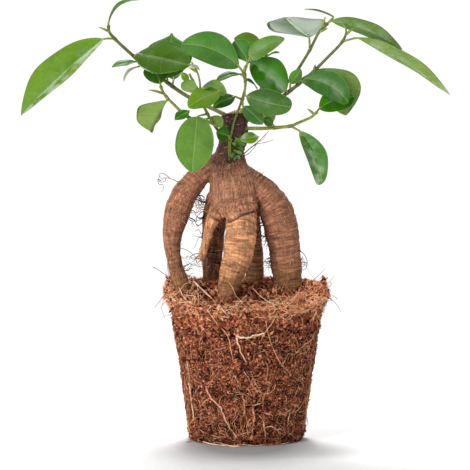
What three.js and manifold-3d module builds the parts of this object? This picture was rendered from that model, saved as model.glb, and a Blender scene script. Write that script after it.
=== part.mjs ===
// A ginseng ficus lifted out of its nursery pot: a coir root ball moulded by the pot, a short trunk
// that swells into thick standing roots, and eight leafy stems grafted round its sawn-off top.
// Millimetres, +Z up. The origin is the middle of the root ball's flat base. X runs to the right and
// Y away from someone who looks at the front of the plant.
import * as THREE from 'three';
import Module from 'manifold-3d';

const wasm = await Module();
wasm.setup();

// Root ball: a tapered plug with a wider band at its rim.
const BASE_RADIUS = 38;
const FOOT_RADIUS = 42;
const FOOT_HEIGHT = 9;
const SHOULDER_RADIUS = 52.5;
const SHOULDER_HEIGHT = 82;
const BAND_RADIUS = 56;
const BAND_HEIGHT = 85;
const RIM_RADIUS = 58.5;
const TOP_HEIGHT = 112;
const BAND_RISE = 22;
const BALL_SIDES = 36;
const WALL_HEIGHTS = [1.5, 9, 26, 45, 64, 82, 85.5, 93];
const BALL_RELIEF = 1.1;

// Soil: worn down at the front and rising a little at the back, in rings given as shares of the rim.
const FRONT_WEAR = 13.5;
const WEAR_REACH = 52;
const BACK_SLOPE = 0.02;
const SOIL_RINGS = [0.97, 0.84, 0.64, 0.42, 0.2];
const SOIL_RELIEF = 1.6;
const EDGE_DROP = 3;
const EDGE_RELIEF = 1.5;

// Fits between pieces that touch.
const GAP = 0.3;
const SOCKET_GAP = 0.35;

// Leaves: a thin blade on a petiole that runs on below it as the midrib.
const BLADE_THICKNESS = 0.75;
const BLADE_END = 0.4;
const PETIOLE_RADIUS = 0.85;
const MIDRIB_RADIUS = 0.5;
const MARGIN_DROOP = 0.12;
const FULLNESS = 0.62;
const BLADE_STATIONS = [0, 0.1, 0.36, 0.66, 0.91, 1];
const MIDRIB_END = 0.09;
const BROAD_LEAF = 18;
const BROAD_SHARES = [-1, -0.55, 0, 0.55, 1];
const NARROW_SHARES = [-1, 0, 1];

// Sides round each kind of limb, and steps along it.
const LIMB_SIDES = 12;
const LIMB_STEPS = 1.15;
const STEM_SIDES = 5;
const STEM_STEPS = 1.4;
const PETIOLE_SIDES = 4;
const ROOT_SIDES = 4;
const TUFT_SIDES = 3;
const SHORT_STEPS = 3;

// The centreline of each woody limb, as [x, y, z, radius].
const TRUNK = [
  [-11, -1, 236, 8.8], [-8, -1, 228, 9], [-8.3, -0.5, 217, 9.6], [-11.5, 0, 209, 10.4],
  [-12.4, 0, 201, 12], [-11.8, -1, 194, 14], [-10.6, -2, 186, 16.4], [-9.8, -3, 177, 17],
  [-10.5, -3, 169, 14.5], [-11, -3, 162, 9.5],
];
const LIMBS = [
  // The long left root, which leaves the shoulder and comes down like a leg.
  [
    [-14, 0, 203, 7.5], [-21, -1, 199.5, 7.6], [-29, -1.5, 194.5, 7.6], [-36, -2.5, 188, 8.1],
    [-42.5, -4, 180.5, 9], [-48, -6, 170, 9.8], [-51, -7, 160, 9.2], [-53, -7, 150, 7.3],
    [-53.4, -7, 140, 5.8], [-52.2, -6.5, 131, 5.3], [-50.2, -6, 122, 5.7], [-47.2, -6, 114, 6.4],
    [-44.6, -5.5, 104, 6], [-42, -4.5, 91, 4.5], [-40, -4, 77, 2.4],
  ],
  // The thickest root, on the right.
  [
    [-5, 1.5, 189, 11], [1.5, 2, 185, 11], [8.5, 2, 180, 11.2], [15, 2, 174.5, 11.8],
    [19.8, 1, 167, 12.4], [23.8, 0, 158, 12.9], [25.7, 0, 147, 12.4], [27.6, 0, 137, 11.5],
    [28.5, 1, 127, 11.2], [29.5, 2, 117, 11.1], [30, 2, 107, 10.2], [29.9, 2, 94, 7.4],
    [29.2, 2, 79, 3.4],
  ],
  // The centre front root, tucked under the belly.
  [
    [-4, -5, 170, 9.5], [-3.2, -11, 161, 10.4], [-3.8, -17, 152, 11.2], [-4.8, -20, 143, 11.5],
    [-6.2, -21, 135, 10.8], [-8.2, -22, 128, 10.2], [-10.8, -23, 120, 9], [-13, -24, 111, 7.5],
    [-15.2, -25.5, 101, 5.9], [-17, -27, 88, 4.2], [-18, -28, 74, 2.2],
  ],
  // The back left root.
  [
    [-19, 2, 178, 7], [-24, 7, 172, 5.8], [-27, 12.5, 163, 5], [-27.8, 17, 148, 4.5],
    [-28, 20, 133, 4.1], [-28.6, 22, 118, 4], [-29.4, 23.5, 105, 3.4], [-30, 24, 90, 2.2],
  ],
  // A root that stops in the air.
  [
    [-19, -2, 171, 5], [-22.7, -5.5, 166, 4.7], [-24, -8.5, 160, 4.4], [-26.4, -10.3, 152, 3.9],
    [-28.6, -11, 144, 3.3], [-30.8, -11, 136.5, 2.4], [-32, -11, 131, 1.2],
  ],
  // The back right root.
  [
    [-2, 4, 178, 10], [0.5, 9, 171, 9], [2.8, 15, 158, 7.4], [4.7, 19, 144, 6.8],
    [5.5, 22, 132, 6.9], [5.9, 24, 121, 7.2], [5.9, 25, 110, 6.8], [6.1, 26, 94, 4.8],
    [6.5, 27, 78, 2.5],
  ],
  // The back middle root.
  [
    [-14, 3, 178, 8], [-18, 8, 168, 7], [-20, 17, 155, 5.3], [-21.3, 26, 141, 4.7],
    [-22, 32.5, 127, 4.6], [-22, 37, 112, 4.7], [-22, 39, 95, 3],
  ],
];
const BARK_RELIEF = 0.035;
const BARK_REACH = 6;

// Pale roots that lie in the skin of the root ball, as [angle round the ball in degrees, height].
// Zero degrees is the front and the angle grows to the right.
const SURFACE_ROOTS = [
  [[-24, 96], [-17, 80], [-12, 56]],
  [[-47, 36], [-28, 20], [-15, 5]],
  [[-5, 34], [-2, 20], [6, 5]],
  [[7, 24], [20, 33], [30, 38]],
  [[27, 82], [30, 68], [58, 47]],
  [[122, 70], [118, 40], [126, 8]],
  [[186, 78], [192, 54], [184, 30]],
  [[252, 66], [256, 40], [246, 16]],
];
const SURFACE_ROOT_RADII = [1.2, 0.65];
const LOWEST_ROOT = 4;

// Coir tufts that stand up from the rim, as [angle, height above the rim].
const RIM_TUFTS = [
  [-110, 6], [-98, 9], [-86, 8], [-74, 5], [74, 5], [85, 8], [96, 7], [150, 5], [200, 5],
];
const TUFT_RADII = [2.4, 0.3];
const TUFT_DEPTH = 5;
const TUFT_INSET = 3;

// A leaf leaves its stem at `on`, its blade runs from `base` to `tip`, and the upper side looks
// towards `face`. `fold` is the angle in degrees by which each half rises, `bow` and `sway` are how
// far the midrib arches up and sideways as shares of the length, and a `skew` over 1 moves the widest
// place from the middle towards the tip.
function leaf(on, base, tip, width, face, fold, bow, { sway = 0, skew = 1 } = {}) {
  return { on, base, tip, width, face, fold, bow, sway, skew };
}

// Each leafy stem: the way of its axis from the socket in the wood to its tip, its two radii, its
// side twigs, its leaves and its buds.
const STEMS = {
  stem_left_high: {
    path: [
      [-11, 2, 230.5], [-15.5, 4, 234], [-22, 8, 237.5], [-39, 14, 245.5], [-49, 17, 251.5],
      [-58, 18, 258], [-69.5, 17, 266.5], [-81, 14, 276], [-90.5, 10, 284.5], [-96, 8, 290],
      [-99, 7, 294], [-99.5, 7, 298.5],
    ],
    radii: [1.7, 1],
    leaves: [
      leaf([-99.5, 7, 298], [-99.5, 6, 300], [-77.5, 1, 316.5], 8, [-0.6, -0.3, 0.7], 25, 0.2),
      leaf([-95, 8, 289], [-103, 3, 288.6], [-161, -14, 233.6], 37, [-0.55, -0.62, 0.3], 36, 0.03),
      leaf([-81, 14, 276], [-79, 9, 277.5], [-40.5, -16, 268], 28, [0.1, -0.85, 0.55], 8, 0.04),
      leaf([-57, 18, 257], [-57.5, 17, 261], [-54.5, 36, 294], 34, [0, -1, 0.5], 10, 0.06, { skew: 0.9 }),
      leaf([-79, 14.6, 274], [-80, 11, 272.5], [-97, 4, 268.4], 10, [-0.2, -0.5, 0.8], 12, 0.05),
      leaf([-75, 15.6, 271], [-78, 12, 269], [-88.6, 7, 258], 6, [-0.6, -0.4, 0.6], 20, 0.16),
      leaf([-54, 17.6, 255], [-53, 23, 260], [-60, 51, 271], 20, [0.1, -0.3, 0.95], 10, 0.08),
    ],
    buds: [[[-98.5, 7, 293.5], [-107, 4, 297.5]]],
  },
  stem_left_low: {
    path: [
      [-10, -4, 225], [-14, -7, 226], [-20, -10, 226.5], [-30, -13, 230], [-40.7, -13, 232],
      [-46.4, -12, 236], [-51.5, -9, 241], [-56.5, -6, 246], [-60, -3, 250.5], [-61.6, -1, 254.5],
    ],
    radii: [1.4, 0.9],
    leaves: [
      leaf([-61.6, -1, 254], [-62, 0.5, 256.5], [-69, 7.5, 272], 19, [0.2, -0.9, 0.4], 10, 0.05),
      leaf([-57.5, -5, 247], [-57, -9, 244.5], [-69, -13, 222.5], 33,
        [-0.58, 0.74, 0.38], 44, 0.03, { skew: 1.2 }),
      leaf([-42.5, -12.7, 233], [-41.2, -16, 237], [-51, -21, 230.5], 9, [0, -0.7, 0.7], 10, 0.05),
    ],
    buds: [[[-59, -4, 249], [-70.5, -9, 252]]],
  },
  stem_front_left: {
    path: [
      [-11.5, -4, 218.5], [-15, -7, 219.6], [-19.5, -13, 222], [-22.5, -19, 226], [-27.7, -28, 234.7],
      [-31.3, -32, 242.6], [-33.5, -34, 249.8], [-37, -36, 256.3], [-40.5, -37, 263],
    ],
    radii: [1.3, 0.8],
    twigs: [{
      path: [[-33, -33.6, 248.5], [-33, -34, 256], [-34.9, -35, 264.2], [-39, -36, 271.5]],
      radii: [0.8, 0.6],
    }],
    leaves: [
      leaf([-27.7, -28, 234.7], [-34.8, -38, 232.8], [-38.3, -45, 193.7], 29, [-0.05, -1, 0.15], 8, 0.05),
      leaf([-30, -31, 240], [-19, -37, 250.5], [-41, -44, 239.5], 18, [-0.2, -0.85, 0.5], 12, 0.08),
      leaf([-33.5, -34, 249.8], [-32, -31, 252.5], [-14, -28, 249], 15, [0.2, 0.75, 0.5], 12, 0.18),
      leaf([-33.5, -34, 250.5], [-36.5, -38, 250], [-45.5, -43, 257], 12, [0.3, 0.85, 0.35], 14, 0.1),
      leaf([-33, -34.5, 251.5], [-30.5, -38, 252.5], [-22.5, -43, 256], 7, [0, -0.6, 0.8], 10, 0.05),
      leaf([-37.5, -36.3, 257.5], [-41, -37, 257.5], [-45.6, -37, 264], 5.5, [-0.3, -0.9, 0.1], 15, 0.1),
      leaf([-24, -22, 229], [-24.5, -24.5, 233], [-17.5, -25, 225.5], 9, [0.2, 0.9, 0.2], 15, 0.1),
    ],
    buds: [[[-26, -25, 232], [-32.5, -28, 229.5]], [[-34.9, -35, 264], [-41, -37, 267.5]]],
  },
  stem_front: {
    path: [
      [-11.9, -7.5, 197.5], [-12.6, -13.6, 205], [-12.7, -13.4, 213.8], [-11.2, -13.2, 219.6],
      [-9, -13.4, 229], [-6.8, -14, 235.4], [-4.3, -15, 241.9], [-2.5, -15.6, 247],
      [-1.1, -16, 253.4], [-1.1, -16, 259.2], [-2.2, -16, 264.2],
    ],
    radii: [1.3, 0.9],
    leaves: [
      leaf([-2, -16, 263.2], [-5.4, -17.5, 268.4], [-46.4, -22, 284], 27,
        [0.15, -0.9, 0.4], 8, 0.06, { sway: 0.09 }),
      leaf([-2, -16, 263.6], [2.5, -15, 274.5], [27, -6, 289], 13,
        [0, -0.85, 0.5], 8, 0.04, { sway: -0.06 }),
      leaf([-2, -15.6, 262.5], [0.6, -12, 273], [-8.5, -8.5, 287.3], 16,
        [-0.1, -0.9, 0.4], 8, 0.04, { skew: 1.35 }),
      leaf([-2, -15.8, 249], [-0.2, -18.5, 247.5], [31.6, -26, 239.5], 21,
        [0, -0.9, 0.4], 8, 0.04, { sway: 0.05 }),
      leaf([-1.3, -16, 261], [-4.5, -18, 263], [-22, -27, 257], 10, [0, -0.12, 1], 12, 0.12),
      leaf([-1.1, -16, 258], [-0.6, -12.5, 259.3], [7.5, -3.5, 252.5], 9, [0.3, -0.3, 0.9], 10, 0.1),
      leaf([-3.2, -15.3, 245], [-8.5, -15, 247.2], [-23.8, -20, 239.3], 12, [0, -0.8, 0.6], 10, 0.1),
      leaf([-3, -15.4, 245.6], [-2.6, -17.5, 240], [11.4, -21, 227.3], 13, [0.2, -0.9, 0.4], 10, 0.06),
      leaf([-12.2, -13.3, 216.5], [-12.6, -16.5, 219], [-21.6, -20, 221.8], 12, [0, -1, 0.2], 8, 0.04),
    ],
    buds: [[[-2.2, -16, 263], [-1, -18, 270]]],
  },
  stem_right_upper: {
    path: [
      [-4, 1, 227.5], [1.5, 2, 231], [9.7, 3, 237.6], [20.5, 4, 244.1], [29.2, 4, 249.8], [38.5, 4, 257],
      [47.9, 3, 265], [57.2, 2, 274.3], [68.8, 0, 286.6], [71.6, 0, 292.3],
    ],
    radii: [1.7, 0.9],
    twigs: [{
      path: [[71.4, 0, 291.5], [71.2, 0, 296], [68.8, 0, 299.5]],
      radii: [0.8, 0.6],
    }],
    leaves: [
      leaf([29.2, 4, 249.8], [28.6, 0, 251.5], [3, -6.5, 272], 26,
        [0.1, -0.95, 0.3], 6, 0.05, { sway: 0.03 }),
      leaf([37.5, 4, 256.2], [39, 0, 260], [72.4, -11, 242.6], 24,
        [0.3, -0.85, 0.45], 8, 0.05, { sway: -0.13 }),
      leaf([48.5, 3, 265.6], [51.5, 8, 267], [72.5, 18, 233.8], 33,
        [0.35, 0.8, 0.35], 10, 0.05, { sway: 0.16 }),
      leaf([68.8, 0, 286.6], [79.6, -1.5, 289.2], [144.4, -20, 248.4], 23, [0.55, 0.36, 0.77], 16, 0.05),
      leaf([31.5, 4, 251.6], [31.5, 1, 256.5], [39, -3, 267], 9, [0.3, -0.9, 0.3], 12, 0.06),
    ],
    buds: [[[71.4, 0, 291.5], [77.6, -2, 296.8]], [[48.5, 3, 265.6], [49.5, 0, 270.5]]],
  },
  stem_right_top: {
    path: [
      [-5, 4.5, 232], [-0.5, 6.5, 234.5], [7, 8.5, 239.5], [16.9, 10.5, 247], [31.3, 12, 259.2],
      [37.8, 12, 267.8], [45.7, 10, 280.8], [52.9, 8, 294.5], [58.4, 6, 300],
    ],
    radii: [1.4, 0.9],
    leaves: [
      leaf([57.8, 6.2, 299.4], [61, 4.5, 301.6], [111.2, -9, 280.8], 23,
        [0.35, 0.5, 0.75], 12, 0.05, { sway: 0.06 }),
      leaf([45.7, 10, 280.8], [45, 5, 290], [28.5, 52, 306], 45, [0, -0.35, 0.93], 14, -0.02),
      leaf([58.2, 6, 299.8], [62.5, 3.5, 304.6], [41.5, -3, 309.8], 9, [0.1, 0.02, 1], 12, 0.06),
    ],
    buds: [[[54.5, 7.4, 296.5], [56.8, 5, 305]], [[52.5, 8, 293.5], [58.8, 6, 296.4]]],
  },
  stem_right_low: {
    path: [
      [-4, -3, 223.6], [0.8, -4.6, 224.3], [11.2, -6.5, 224.4], [24.1, -8, 225.2], [31.3, -9, 226.1],
      [38.5, -9, 229], [46.4, -9, 232.6], [50.8, -9, 236.5],
    ],
    radii: [1.5, 0.9],
    leaves: [
      leaf([31.3, -9, 226.1], [38, -11.5, 222.5], [52.6, -16, 184.3], 17,
        [0.35, -0.9, 0.2], 12, 0.04, { sway: -0.1 }),
      leaf([50, -9, 235.8], [52, -5.5, 238.4], [78, 4, 246.5], 19,
        [0.05, -0.9, 0.45], 8, 0.05, { sway: -0.08 }),
      leaf([5.5, -5.5, 224.3], [1.2, 6.4, 216.8], [9.8, 7.6, 218.4], 9.5, [0, -0.9, 0.4], 10, 0.06),
      leaf([20.5, -7.6, 224.9], [19, -9, 227], [11.6, -11, 231.4], 7.5, [0, -0.9, 0.4], 10, 0.05),
    ],
    buds: [[[48.5, -9, 234.2], [43.4, -10, 238.6]]],
  },
  stem_back: {
    path: [
      [-8, 4.5, 226.5], [-5.5, 10.5, 230.5], [-0.5, 15.5, 235.5], [6.1, 18.5, 242],
      [10.4, 20, 252], [12.6, 19, 266.4], [14, 17, 277.2], [13.5, 15, 281.5],
    ],
    radii: [1.4, 0.9],
    leaves: [
      leaf([13.6, 15.4, 280.6], [11.5, 12, 282], [-9, 5, 289], 16, [0, -0.9, 0.4], 8, 0.08),
      leaf([13.9, 17, 276.8], [16.5, 15.5, 277.6], [24, 13, 279], 5, [0, -0.4, 0.9], 15, 0.08),
      leaf([11.5, 19.6, 258.5], [13, 24, 260], [24, 52, 264], 20, [-0.3, -0.2, 0.95], 10, 0.08),
      leaf([12.6, 19, 266.4], [8, 23, 270], [-20, 42, 278], 20, [0.1, -0.2, 1], 10, 0.08),
      leaf([6.3, 18.6, 242.3], [7, 24, 241.5], [17, 46, 226], 18, [0.2, 0.6, 0.75], 10, 0.08),
    ],
    buds: [[[13.6, 15.2, 281], [15.6, 14.5, 287.5]]],
  },
};
const BUD_RADIUS = 1.1;
const BUD_TIP = 0.15;
const BUD_START = 0.2;
const BUD_FULLNESS = 0.8;

const vector = ([x, y, z]) => new THREE.Vector3(x, y, z);

// A bump field in space, between -1 and 1, which roughens the root ball and the bark.
function bumps(x, y, z) {
  const broad = Math.sin(0.21 * x + 0.13 * z) * Math.cos(0.19 * y - 0.11 * z);
  const fine = Math.sin(0.47 * x - 0.39 * y + 0.53 * z + 1.7) * Math.cos(0.43 * z + 0.31 * x);
  return 0.6 * broad + 0.4 * fine;
}

// Turns the triangles round where they would enclose the outside.
function facingOut(positions, triangles) {
  const corner = (i) => new THREE.Vector3().fromArray(positions, 3 * i);
  let volume = 0;
  for (let i = 0; i < triangles.length; i += 3) {
    const [a, b, c] = triangles.slice(i, i + 3).map(corner);
    volume += a.dot(b.cross(c));
  }
  return volume < 0 ? triangles.toReversed() : triangles;
}

// A closed solid from rings of points, each joined to the next. Its two ends are fans from the
// middle of the ring, or for a slab the strip between the ring's upper and lower row of points.
function solidFromRings(rings, slab = false) {
  const count = rings[0].length;
  const last = (rings.length - 1) * count;
  const positions = rings.flat().flatMap((point) => point.toArray());
  const triangles = [];
  for (let row = 0; row < last; row += count) {
    for (let i = 0; i < count; i += 1) {
      const [a, b] = [row + i, row + ((i + 1) % count)];
      const [c, d] = [b + count, a + count];
      if (slab && i >= count / 2) {
        triangles.push(a, b, d, b, c, d);
      } else {
        triangles.push(a, b, c, a, c, d);
      }
    }
  }
  if (slab) {
    for (let i = 0; i < count / 2 - 1; i += 1) {
      const [a, b, c, d] = [i, i + 1, count - 2 - i, count - 1 - i];
      triangles.push(a, d, b, b, d, c, last + a, last + b, last + d, last + b, last + c, last + d);
    }
  } else {
    const middles = [rings[0], rings.at(-1)].map((ring) => {
      const sum = ring.reduce((total, point) => total.add(point), new THREE.Vector3());
      return sum.divideScalar(count).toArray();
    });
    const start = positions.length / 3;
    positions.push(...middles.flat());
    for (let i = 0; i < count; i += 1) {
      const next = (i + 1) % count;
      triangles.push(start, next, i, start + 1, last + i, last + next);
    }
  }
  const mesh = new wasm.Mesh({
    numProp: 3,
    vertProperties: new Float32Array(positions),
    triVerts: new Uint32Array(facingOut(positions, triangles)),
  });
  return new wasm.Manifold(mesh);
}

// Places along a smooth way through the points, each with a frame that turns as little as it can.
function stationsAlong(points, steps) {
  const curve = new THREE.CatmullRomCurve3(points.map(vector), false, 'centripetal');
  let across = new THREE.Vector3(0, 1, 0);
  if (Math.abs(curve.getTangent(0).y) > 0.9) across.set(1, 0, 0);
  return Array.from({ length: steps + 1 }, (_, i) => {
    const along = i / steps;
    const ahead = curve.getTangent(along);
    across = across.clone().addScaledVector(ahead, -across.dot(ahead)).normalize();
    return { along, at: curve.getPoint(along), ahead, across, up: ahead.clone().cross(across) };
  });
}

// A round limb along a way, with its radius given by a function of the way's share and the angle.
function limb(points, steps, sides, radiusAt) {
  const rings = stationsAlong(points, steps).map(({ along, at, across, up }) => (
    Array.from({ length: sides }, (_, i) => {
      const angle = (2 * Math.PI * i) / sides;
      const out = across.clone().multiplyScalar(Math.cos(angle)).addScaledVector(up, Math.sin(angle));
      return at.clone().addScaledVector(out, radiusAt(along, at, out));
    })
  ));
  return solidFromRings(rings);
}

// The value at a share of a list whose entries are evenly spaced.
function between(values, share) {
  const place = share * (values.length - 1);
  const index = Math.min(Math.floor(place), values.length - 2);
  return THREE.MathUtils.lerp(values[index], values[index + 1], place - index);
}

const fuse = (solids) => solids.reduce((whole, solid) => whole.add(solid));

// A woody limb with a slightly uneven bark, swollen all round by `extra` where a hole is cut for it.
function woodyLimb(points, extra = 0) {
  const radii = points.map((point) => point[3]);
  const steps = Math.round(LIMB_STEPS * (points.length - 1));
  return limb(points, steps, LIMB_SIDES, (along, at, out) => {
    const spot = at.clone().addScaledVector(out, BARK_REACH);
    const relief = BARK_RELIEF * bumps(2 * spot.x, 2 * spot.y, 1.5 * spot.z);
    return between(radii, along) * (1 + relief) + extra;
  });
}

// The half width of a leaf blade at a share of its length.
function halfWidth({ width, skew }, along) {
  return (width / 2) * Math.sin(Math.PI * along ** skew) ** FULLNESS;
}

// The frame of a leaf blade: along its chord, across it, and out of its upper side.
function bladeFrame(one) {
  const base = vector(one.base);
  const chord = vector(one.tip).sub(base);
  const ahead = chord.clone().normalize();
  const face = vector(one.face);
  const normal = face.addScaledVector(ahead, -face.dot(ahead)).normalize();
  return { base, length: chord.length(), ahead, normal, side: ahead.clone().cross(normal) };
}

// A point on a leaf blade, at a share of its length and from -1 to 1 across it, raised by `raise`.
function bladePoint(one, frame, along, across, raise) {
  const half = Math.max(halfWidth(one, along), BLADE_END);
  const fold = THREE.MathUtils.degToRad(one.fold);
  const curve = 4 * frame.length * along * (1 - along);
  const rise = half * (Math.abs(across) * Math.sin(fold) - MARGIN_DROOP * across * across);
  return frame.base.clone()
    .addScaledVector(frame.ahead, frame.length * along)
    .addScaledVector(frame.side, half * across * Math.cos(fold) + one.sway * curve)
    .addScaledVector(frame.normal, one.bow * curve + rise + raise);
}

function blade(one) {
  const frame = bladeFrame(one);
  const shares = one.width > BROAD_LEAF ? BROAD_SHARES : NARROW_SHARES;
  const half = BLADE_THICKNESS / 2;
  const rings = BLADE_STATIONS.map((along) => [
    ...shares.map((across) => bladePoint(one, frame, along, across, half)),
    ...shares.toReversed().map((across) => bladePoint(one, frame, along, across, -half)),
  ]);
  return solidFromRings(rings, true);
}

// The stalk of a leaf, from inside the stem to the start of the midrib.
function petiole(one) {
  const rib = bladePoint(one, bladeFrame(one), MIDRIB_END, 0, 0).toArray();
  return limb([one.on, one.base, rib], SHORT_STEPS, PETIOLE_SIDES, (along) => (
    between([PETIOLE_RADIUS, MIDRIB_RADIUS], along)
  ));
}

// A pointed bud, widest near its foot.
function bud([foot, tip]) {
  return limb([foot, tip], SHORT_STEPS, STEM_SIDES, (along) => {
    const swell = Math.sin(Math.PI * THREE.MathUtils.lerp(BUD_START, 1, along));
    return Math.max(BUD_RADIUS * Math.max(swell, 0) ** BUD_FULLNESS, BUD_TIP);
  });
}

function twig({ path, radii }) {
  const steps = Math.round(STEM_STEPS * (path.length - 1));
  return limb(path, steps, STEM_SIDES, (along) => between(radii, along));
}

function leafyStem(stem) {
  return fuse([
    twig(stem),
    ...(stem.twigs ?? []).map(twig),
    ...stem.leaves.flatMap((one) => [petiole(one), blade(one)]),
    ...stem.buds.map(bud),
  ]);
}

// The hole that a stem's foot stands in: its first stretch, swollen and begun a little deeper.
function socket(stem) {
  const [foot, next] = stem.path.map(vector);
  const deeper = foot.clone().addScaledVector(next.clone().sub(foot).normalize(), -GAP);
  const path = [deeper.toArray(), ...stem.path.slice(1, 3)];
  return limb(path, SHORT_STEPS + 1, STEM_SIDES, () => stem.radii[0] + SOCKET_GAP);
}

function trunkAndRoots() {
  const wood = fuse([woodyLimb(TRUNK), ...LIMBS.map((points) => woodyLimb(points))]);
  return Object.values(STEMS).reduce((cut, stem) => cut.subtract(socket(stem)), wood);
}

// The height of the soil, worn down at the front.
function soilHeight({ y }) {
  const wear = y < 0 ? Math.sin((Math.PI / 2) * Math.min(-y / WEAR_REACH, 1)) : 0;
  return TOP_HEIGHT - FRONT_WEAR * wear + BACK_SLOPE * Math.max(y, 0);
}

// The radius of the root ball's wall at a height, as [height, radius] from the base to the rim.
const WALL = [
  [0, BASE_RADIUS + 1.5], [FOOT_HEIGHT, FOOT_RADIUS], [SHOULDER_HEIGHT, SHOULDER_RADIUS],
  [BAND_HEIGHT, BAND_RADIUS], [BAND_HEIGHT + BAND_RISE, RIM_RADIUS], [2 * TOP_HEIGHT, RIM_RADIUS],
];

function wallRadius(z) {
  const above = WALL.findIndex(([height]) => z < height);
  const [[lowZ, lowRadius], [highZ, highRadius]] = [WALL[above - 1], WALL[above]];
  return THREE.MathUtils.mapLinear(z, lowZ, highZ, lowRadius, highRadius);
}

// A point at an angle round the root ball and a distance from its axis.
function roundPoint(degrees, radius, z) {
  const angle = THREE.MathUtils.degToRad(degrees);
  return new THREE.Vector3(radius * Math.sin(angle), -radius * Math.cos(angle), z);
}

function wallPoint(degrees, z) {
  const { x, y } = roundPoint(degrees, RIM_RADIUS, z);
  return roundPoint(degrees, wallRadius(z) + BALL_RELIEF * bumps(x, y, z), z);
}

function soilPoint(degrees, share) {
  const spot = roundPoint(degrees, RIM_RADIUS * share, 0);
  return spot.setZ(soilHeight(spot) + SOIL_RELIEF * bumps(1.5 * spot.x, 1.5 * spot.y, 0));
}

// The ragged edge between the wall and the soil.
function edgePoint(degrees) {
  const spot = roundPoint(degrees, RIM_RADIUS, 0);
  const ragged = EDGE_RELIEF * bumps(3 * spot.x, 3 * spot.y, 0);
  return wallPoint(degrees, soilHeight(spot) - EDGE_DROP + ragged);
}

function surfaceRoot(route) {
  const points = route.map(([degrees, z]) => wallPoint(degrees, Math.max(z, LOWEST_ROOT)).toArray());
  return limb(points, points.length, ROOT_SIDES, (along) => between(SURFACE_ROOT_RADII, along));
}

// A tuft of coir: a thin cone that starts inside the ball and leans a little over its rim.
function rimTuft([degrees, rise]) {
  const foot = roundPoint(degrees, RIM_RADIUS - TUFT_INSET, 0);
  foot.z = soilHeight(foot) - TUFT_DEPTH;
  const middle = roundPoint(degrees, RIM_RADIUS - TUFT_INSET / 2, foot.z + TUFT_DEPTH);
  const tip = roundPoint(degrees + 1, RIM_RADIUS - TUFT_INSET, middle.z + rise);
  const points = [foot, middle, tip].map((point) => point.toArray());
  return limb(points, SHORT_STEPS, TUFT_SIDES, (along) => between(TUFT_RADII, along));
}

function rootBall() {
  const ring = (pointAt) => (
    Array.from({ length: BALL_SIDES }, (_, i) => pointAt((360 * i) / BALL_SIDES))
  );
  const plug = solidFromRings([
    ring((degrees) => roundPoint(degrees, BASE_RADIUS, 0)),
    ...WALL_HEIGHTS.map((z) => ring((degrees) => wallPoint(degrees, z))),
    ring(edgePoint),
    ...SOIL_RINGS.map((share) => ring((degrees) => soilPoint(degrees, share))),
  ]);
  const whole = fuse([plug, ...SURFACE_ROOTS.map(surfaceRoot), ...RIM_TUFTS.map(rimTuft)]);
  return LIMBS.reduce((cut, points) => cut.subtract(woodyLimb(points, GAP)), whole);
}

function mesh(name, solid, material) {
  const { vertProperties, triVerts } = solid.getMesh();
  const geometry = new THREE.BufferGeometry();
  geometry.setAttribute('position', new THREE.BufferAttribute(vertProperties, 3));
  geometry.setIndex(new THREE.BufferAttribute(triVerts, 1));
  geometry.computeVertexNormals();
  const piece = new THREE.Mesh(geometry, material);
  piece.name = name;
  return piece;
}

const bark = new THREE.MeshStandardMaterial({ color: 0x7a553d, roughness: 0.8, metalness: 0 });
const coir = new THREE.MeshStandardMaterial({ color: 0x6b3a22, roughness: 0.95, metalness: 0 });
const foliage = new THREE.MeshStandardMaterial({ color: 0x4c8a33, roughness: 0.4, metalness: 0 });

const group = new THREE.Group();
group.name = 'ginseng_ficus';
group.add(mesh('root_ball', rootBall(), coir));
group.add(mesh('trunk_and_roots', trunkAndRoots(), bark));
for (const [name, stem] of Object.entries(STEMS)) {
  group.add(mesh(name, leafyStem(stem), foliage.clone()));
}

export default group;
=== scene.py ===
# %% [markdown]
# # A ginseng ficus, lifted out of its nursery pot
# Three things make this small indoor tree: a plug of coir that keeps the shape of its pot, a fat brown trunk
# that stands on its own roots, and leafy stems grafted round the sawn-off top.
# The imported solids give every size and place. Each step copies or regrows one of them with a finer skin,
# so that the surface becomes real and the form stays.

import math

import bpy
import numpy as np
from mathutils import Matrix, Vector, noise
from mathutils.bvhtree import BVHTree


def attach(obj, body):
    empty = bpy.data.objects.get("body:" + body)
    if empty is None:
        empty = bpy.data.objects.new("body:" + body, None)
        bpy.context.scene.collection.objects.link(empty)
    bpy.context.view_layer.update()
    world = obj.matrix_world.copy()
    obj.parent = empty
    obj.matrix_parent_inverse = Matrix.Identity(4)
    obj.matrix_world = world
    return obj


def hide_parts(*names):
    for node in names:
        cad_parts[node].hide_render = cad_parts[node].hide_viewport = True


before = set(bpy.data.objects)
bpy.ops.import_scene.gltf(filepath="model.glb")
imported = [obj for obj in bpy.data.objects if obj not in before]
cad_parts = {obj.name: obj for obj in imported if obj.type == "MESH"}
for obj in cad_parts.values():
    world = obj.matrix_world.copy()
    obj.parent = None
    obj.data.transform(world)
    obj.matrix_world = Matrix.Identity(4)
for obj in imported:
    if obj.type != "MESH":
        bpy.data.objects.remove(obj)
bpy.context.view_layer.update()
MM = 0.001

# %% [markdown]
# ## The camera
# The photograph was taken from about 1.8 m away, a little above the plant, with a long lens. The camera could
# be placed by eye, but a known eye point and lens let later steps turn a place in the photograph into a line
# through the scene, and so into a place on the bark or the coir. The plant's lengths are given in
# millimetres throughout, and those of the floor, the lamps and the camera's reach in metres.

# %% Set up the camera
EYE = Vector((-8.3, -1800, 234))
AIM = Vector((-8.3, 0, 147.6))
PHOTO_SIDE = 470
LENS_IN_PIXELS = 2500
SENSOR = 36
FARTHEST = 20
VIEW_LINE = (AIM - EYE).normalized()
VIEW_RIGHT = Vector((1, 0, 0))
VIEW_UP = VIEW_RIGHT.cross(VIEW_LINE)

scene = bpy.context.scene


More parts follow.
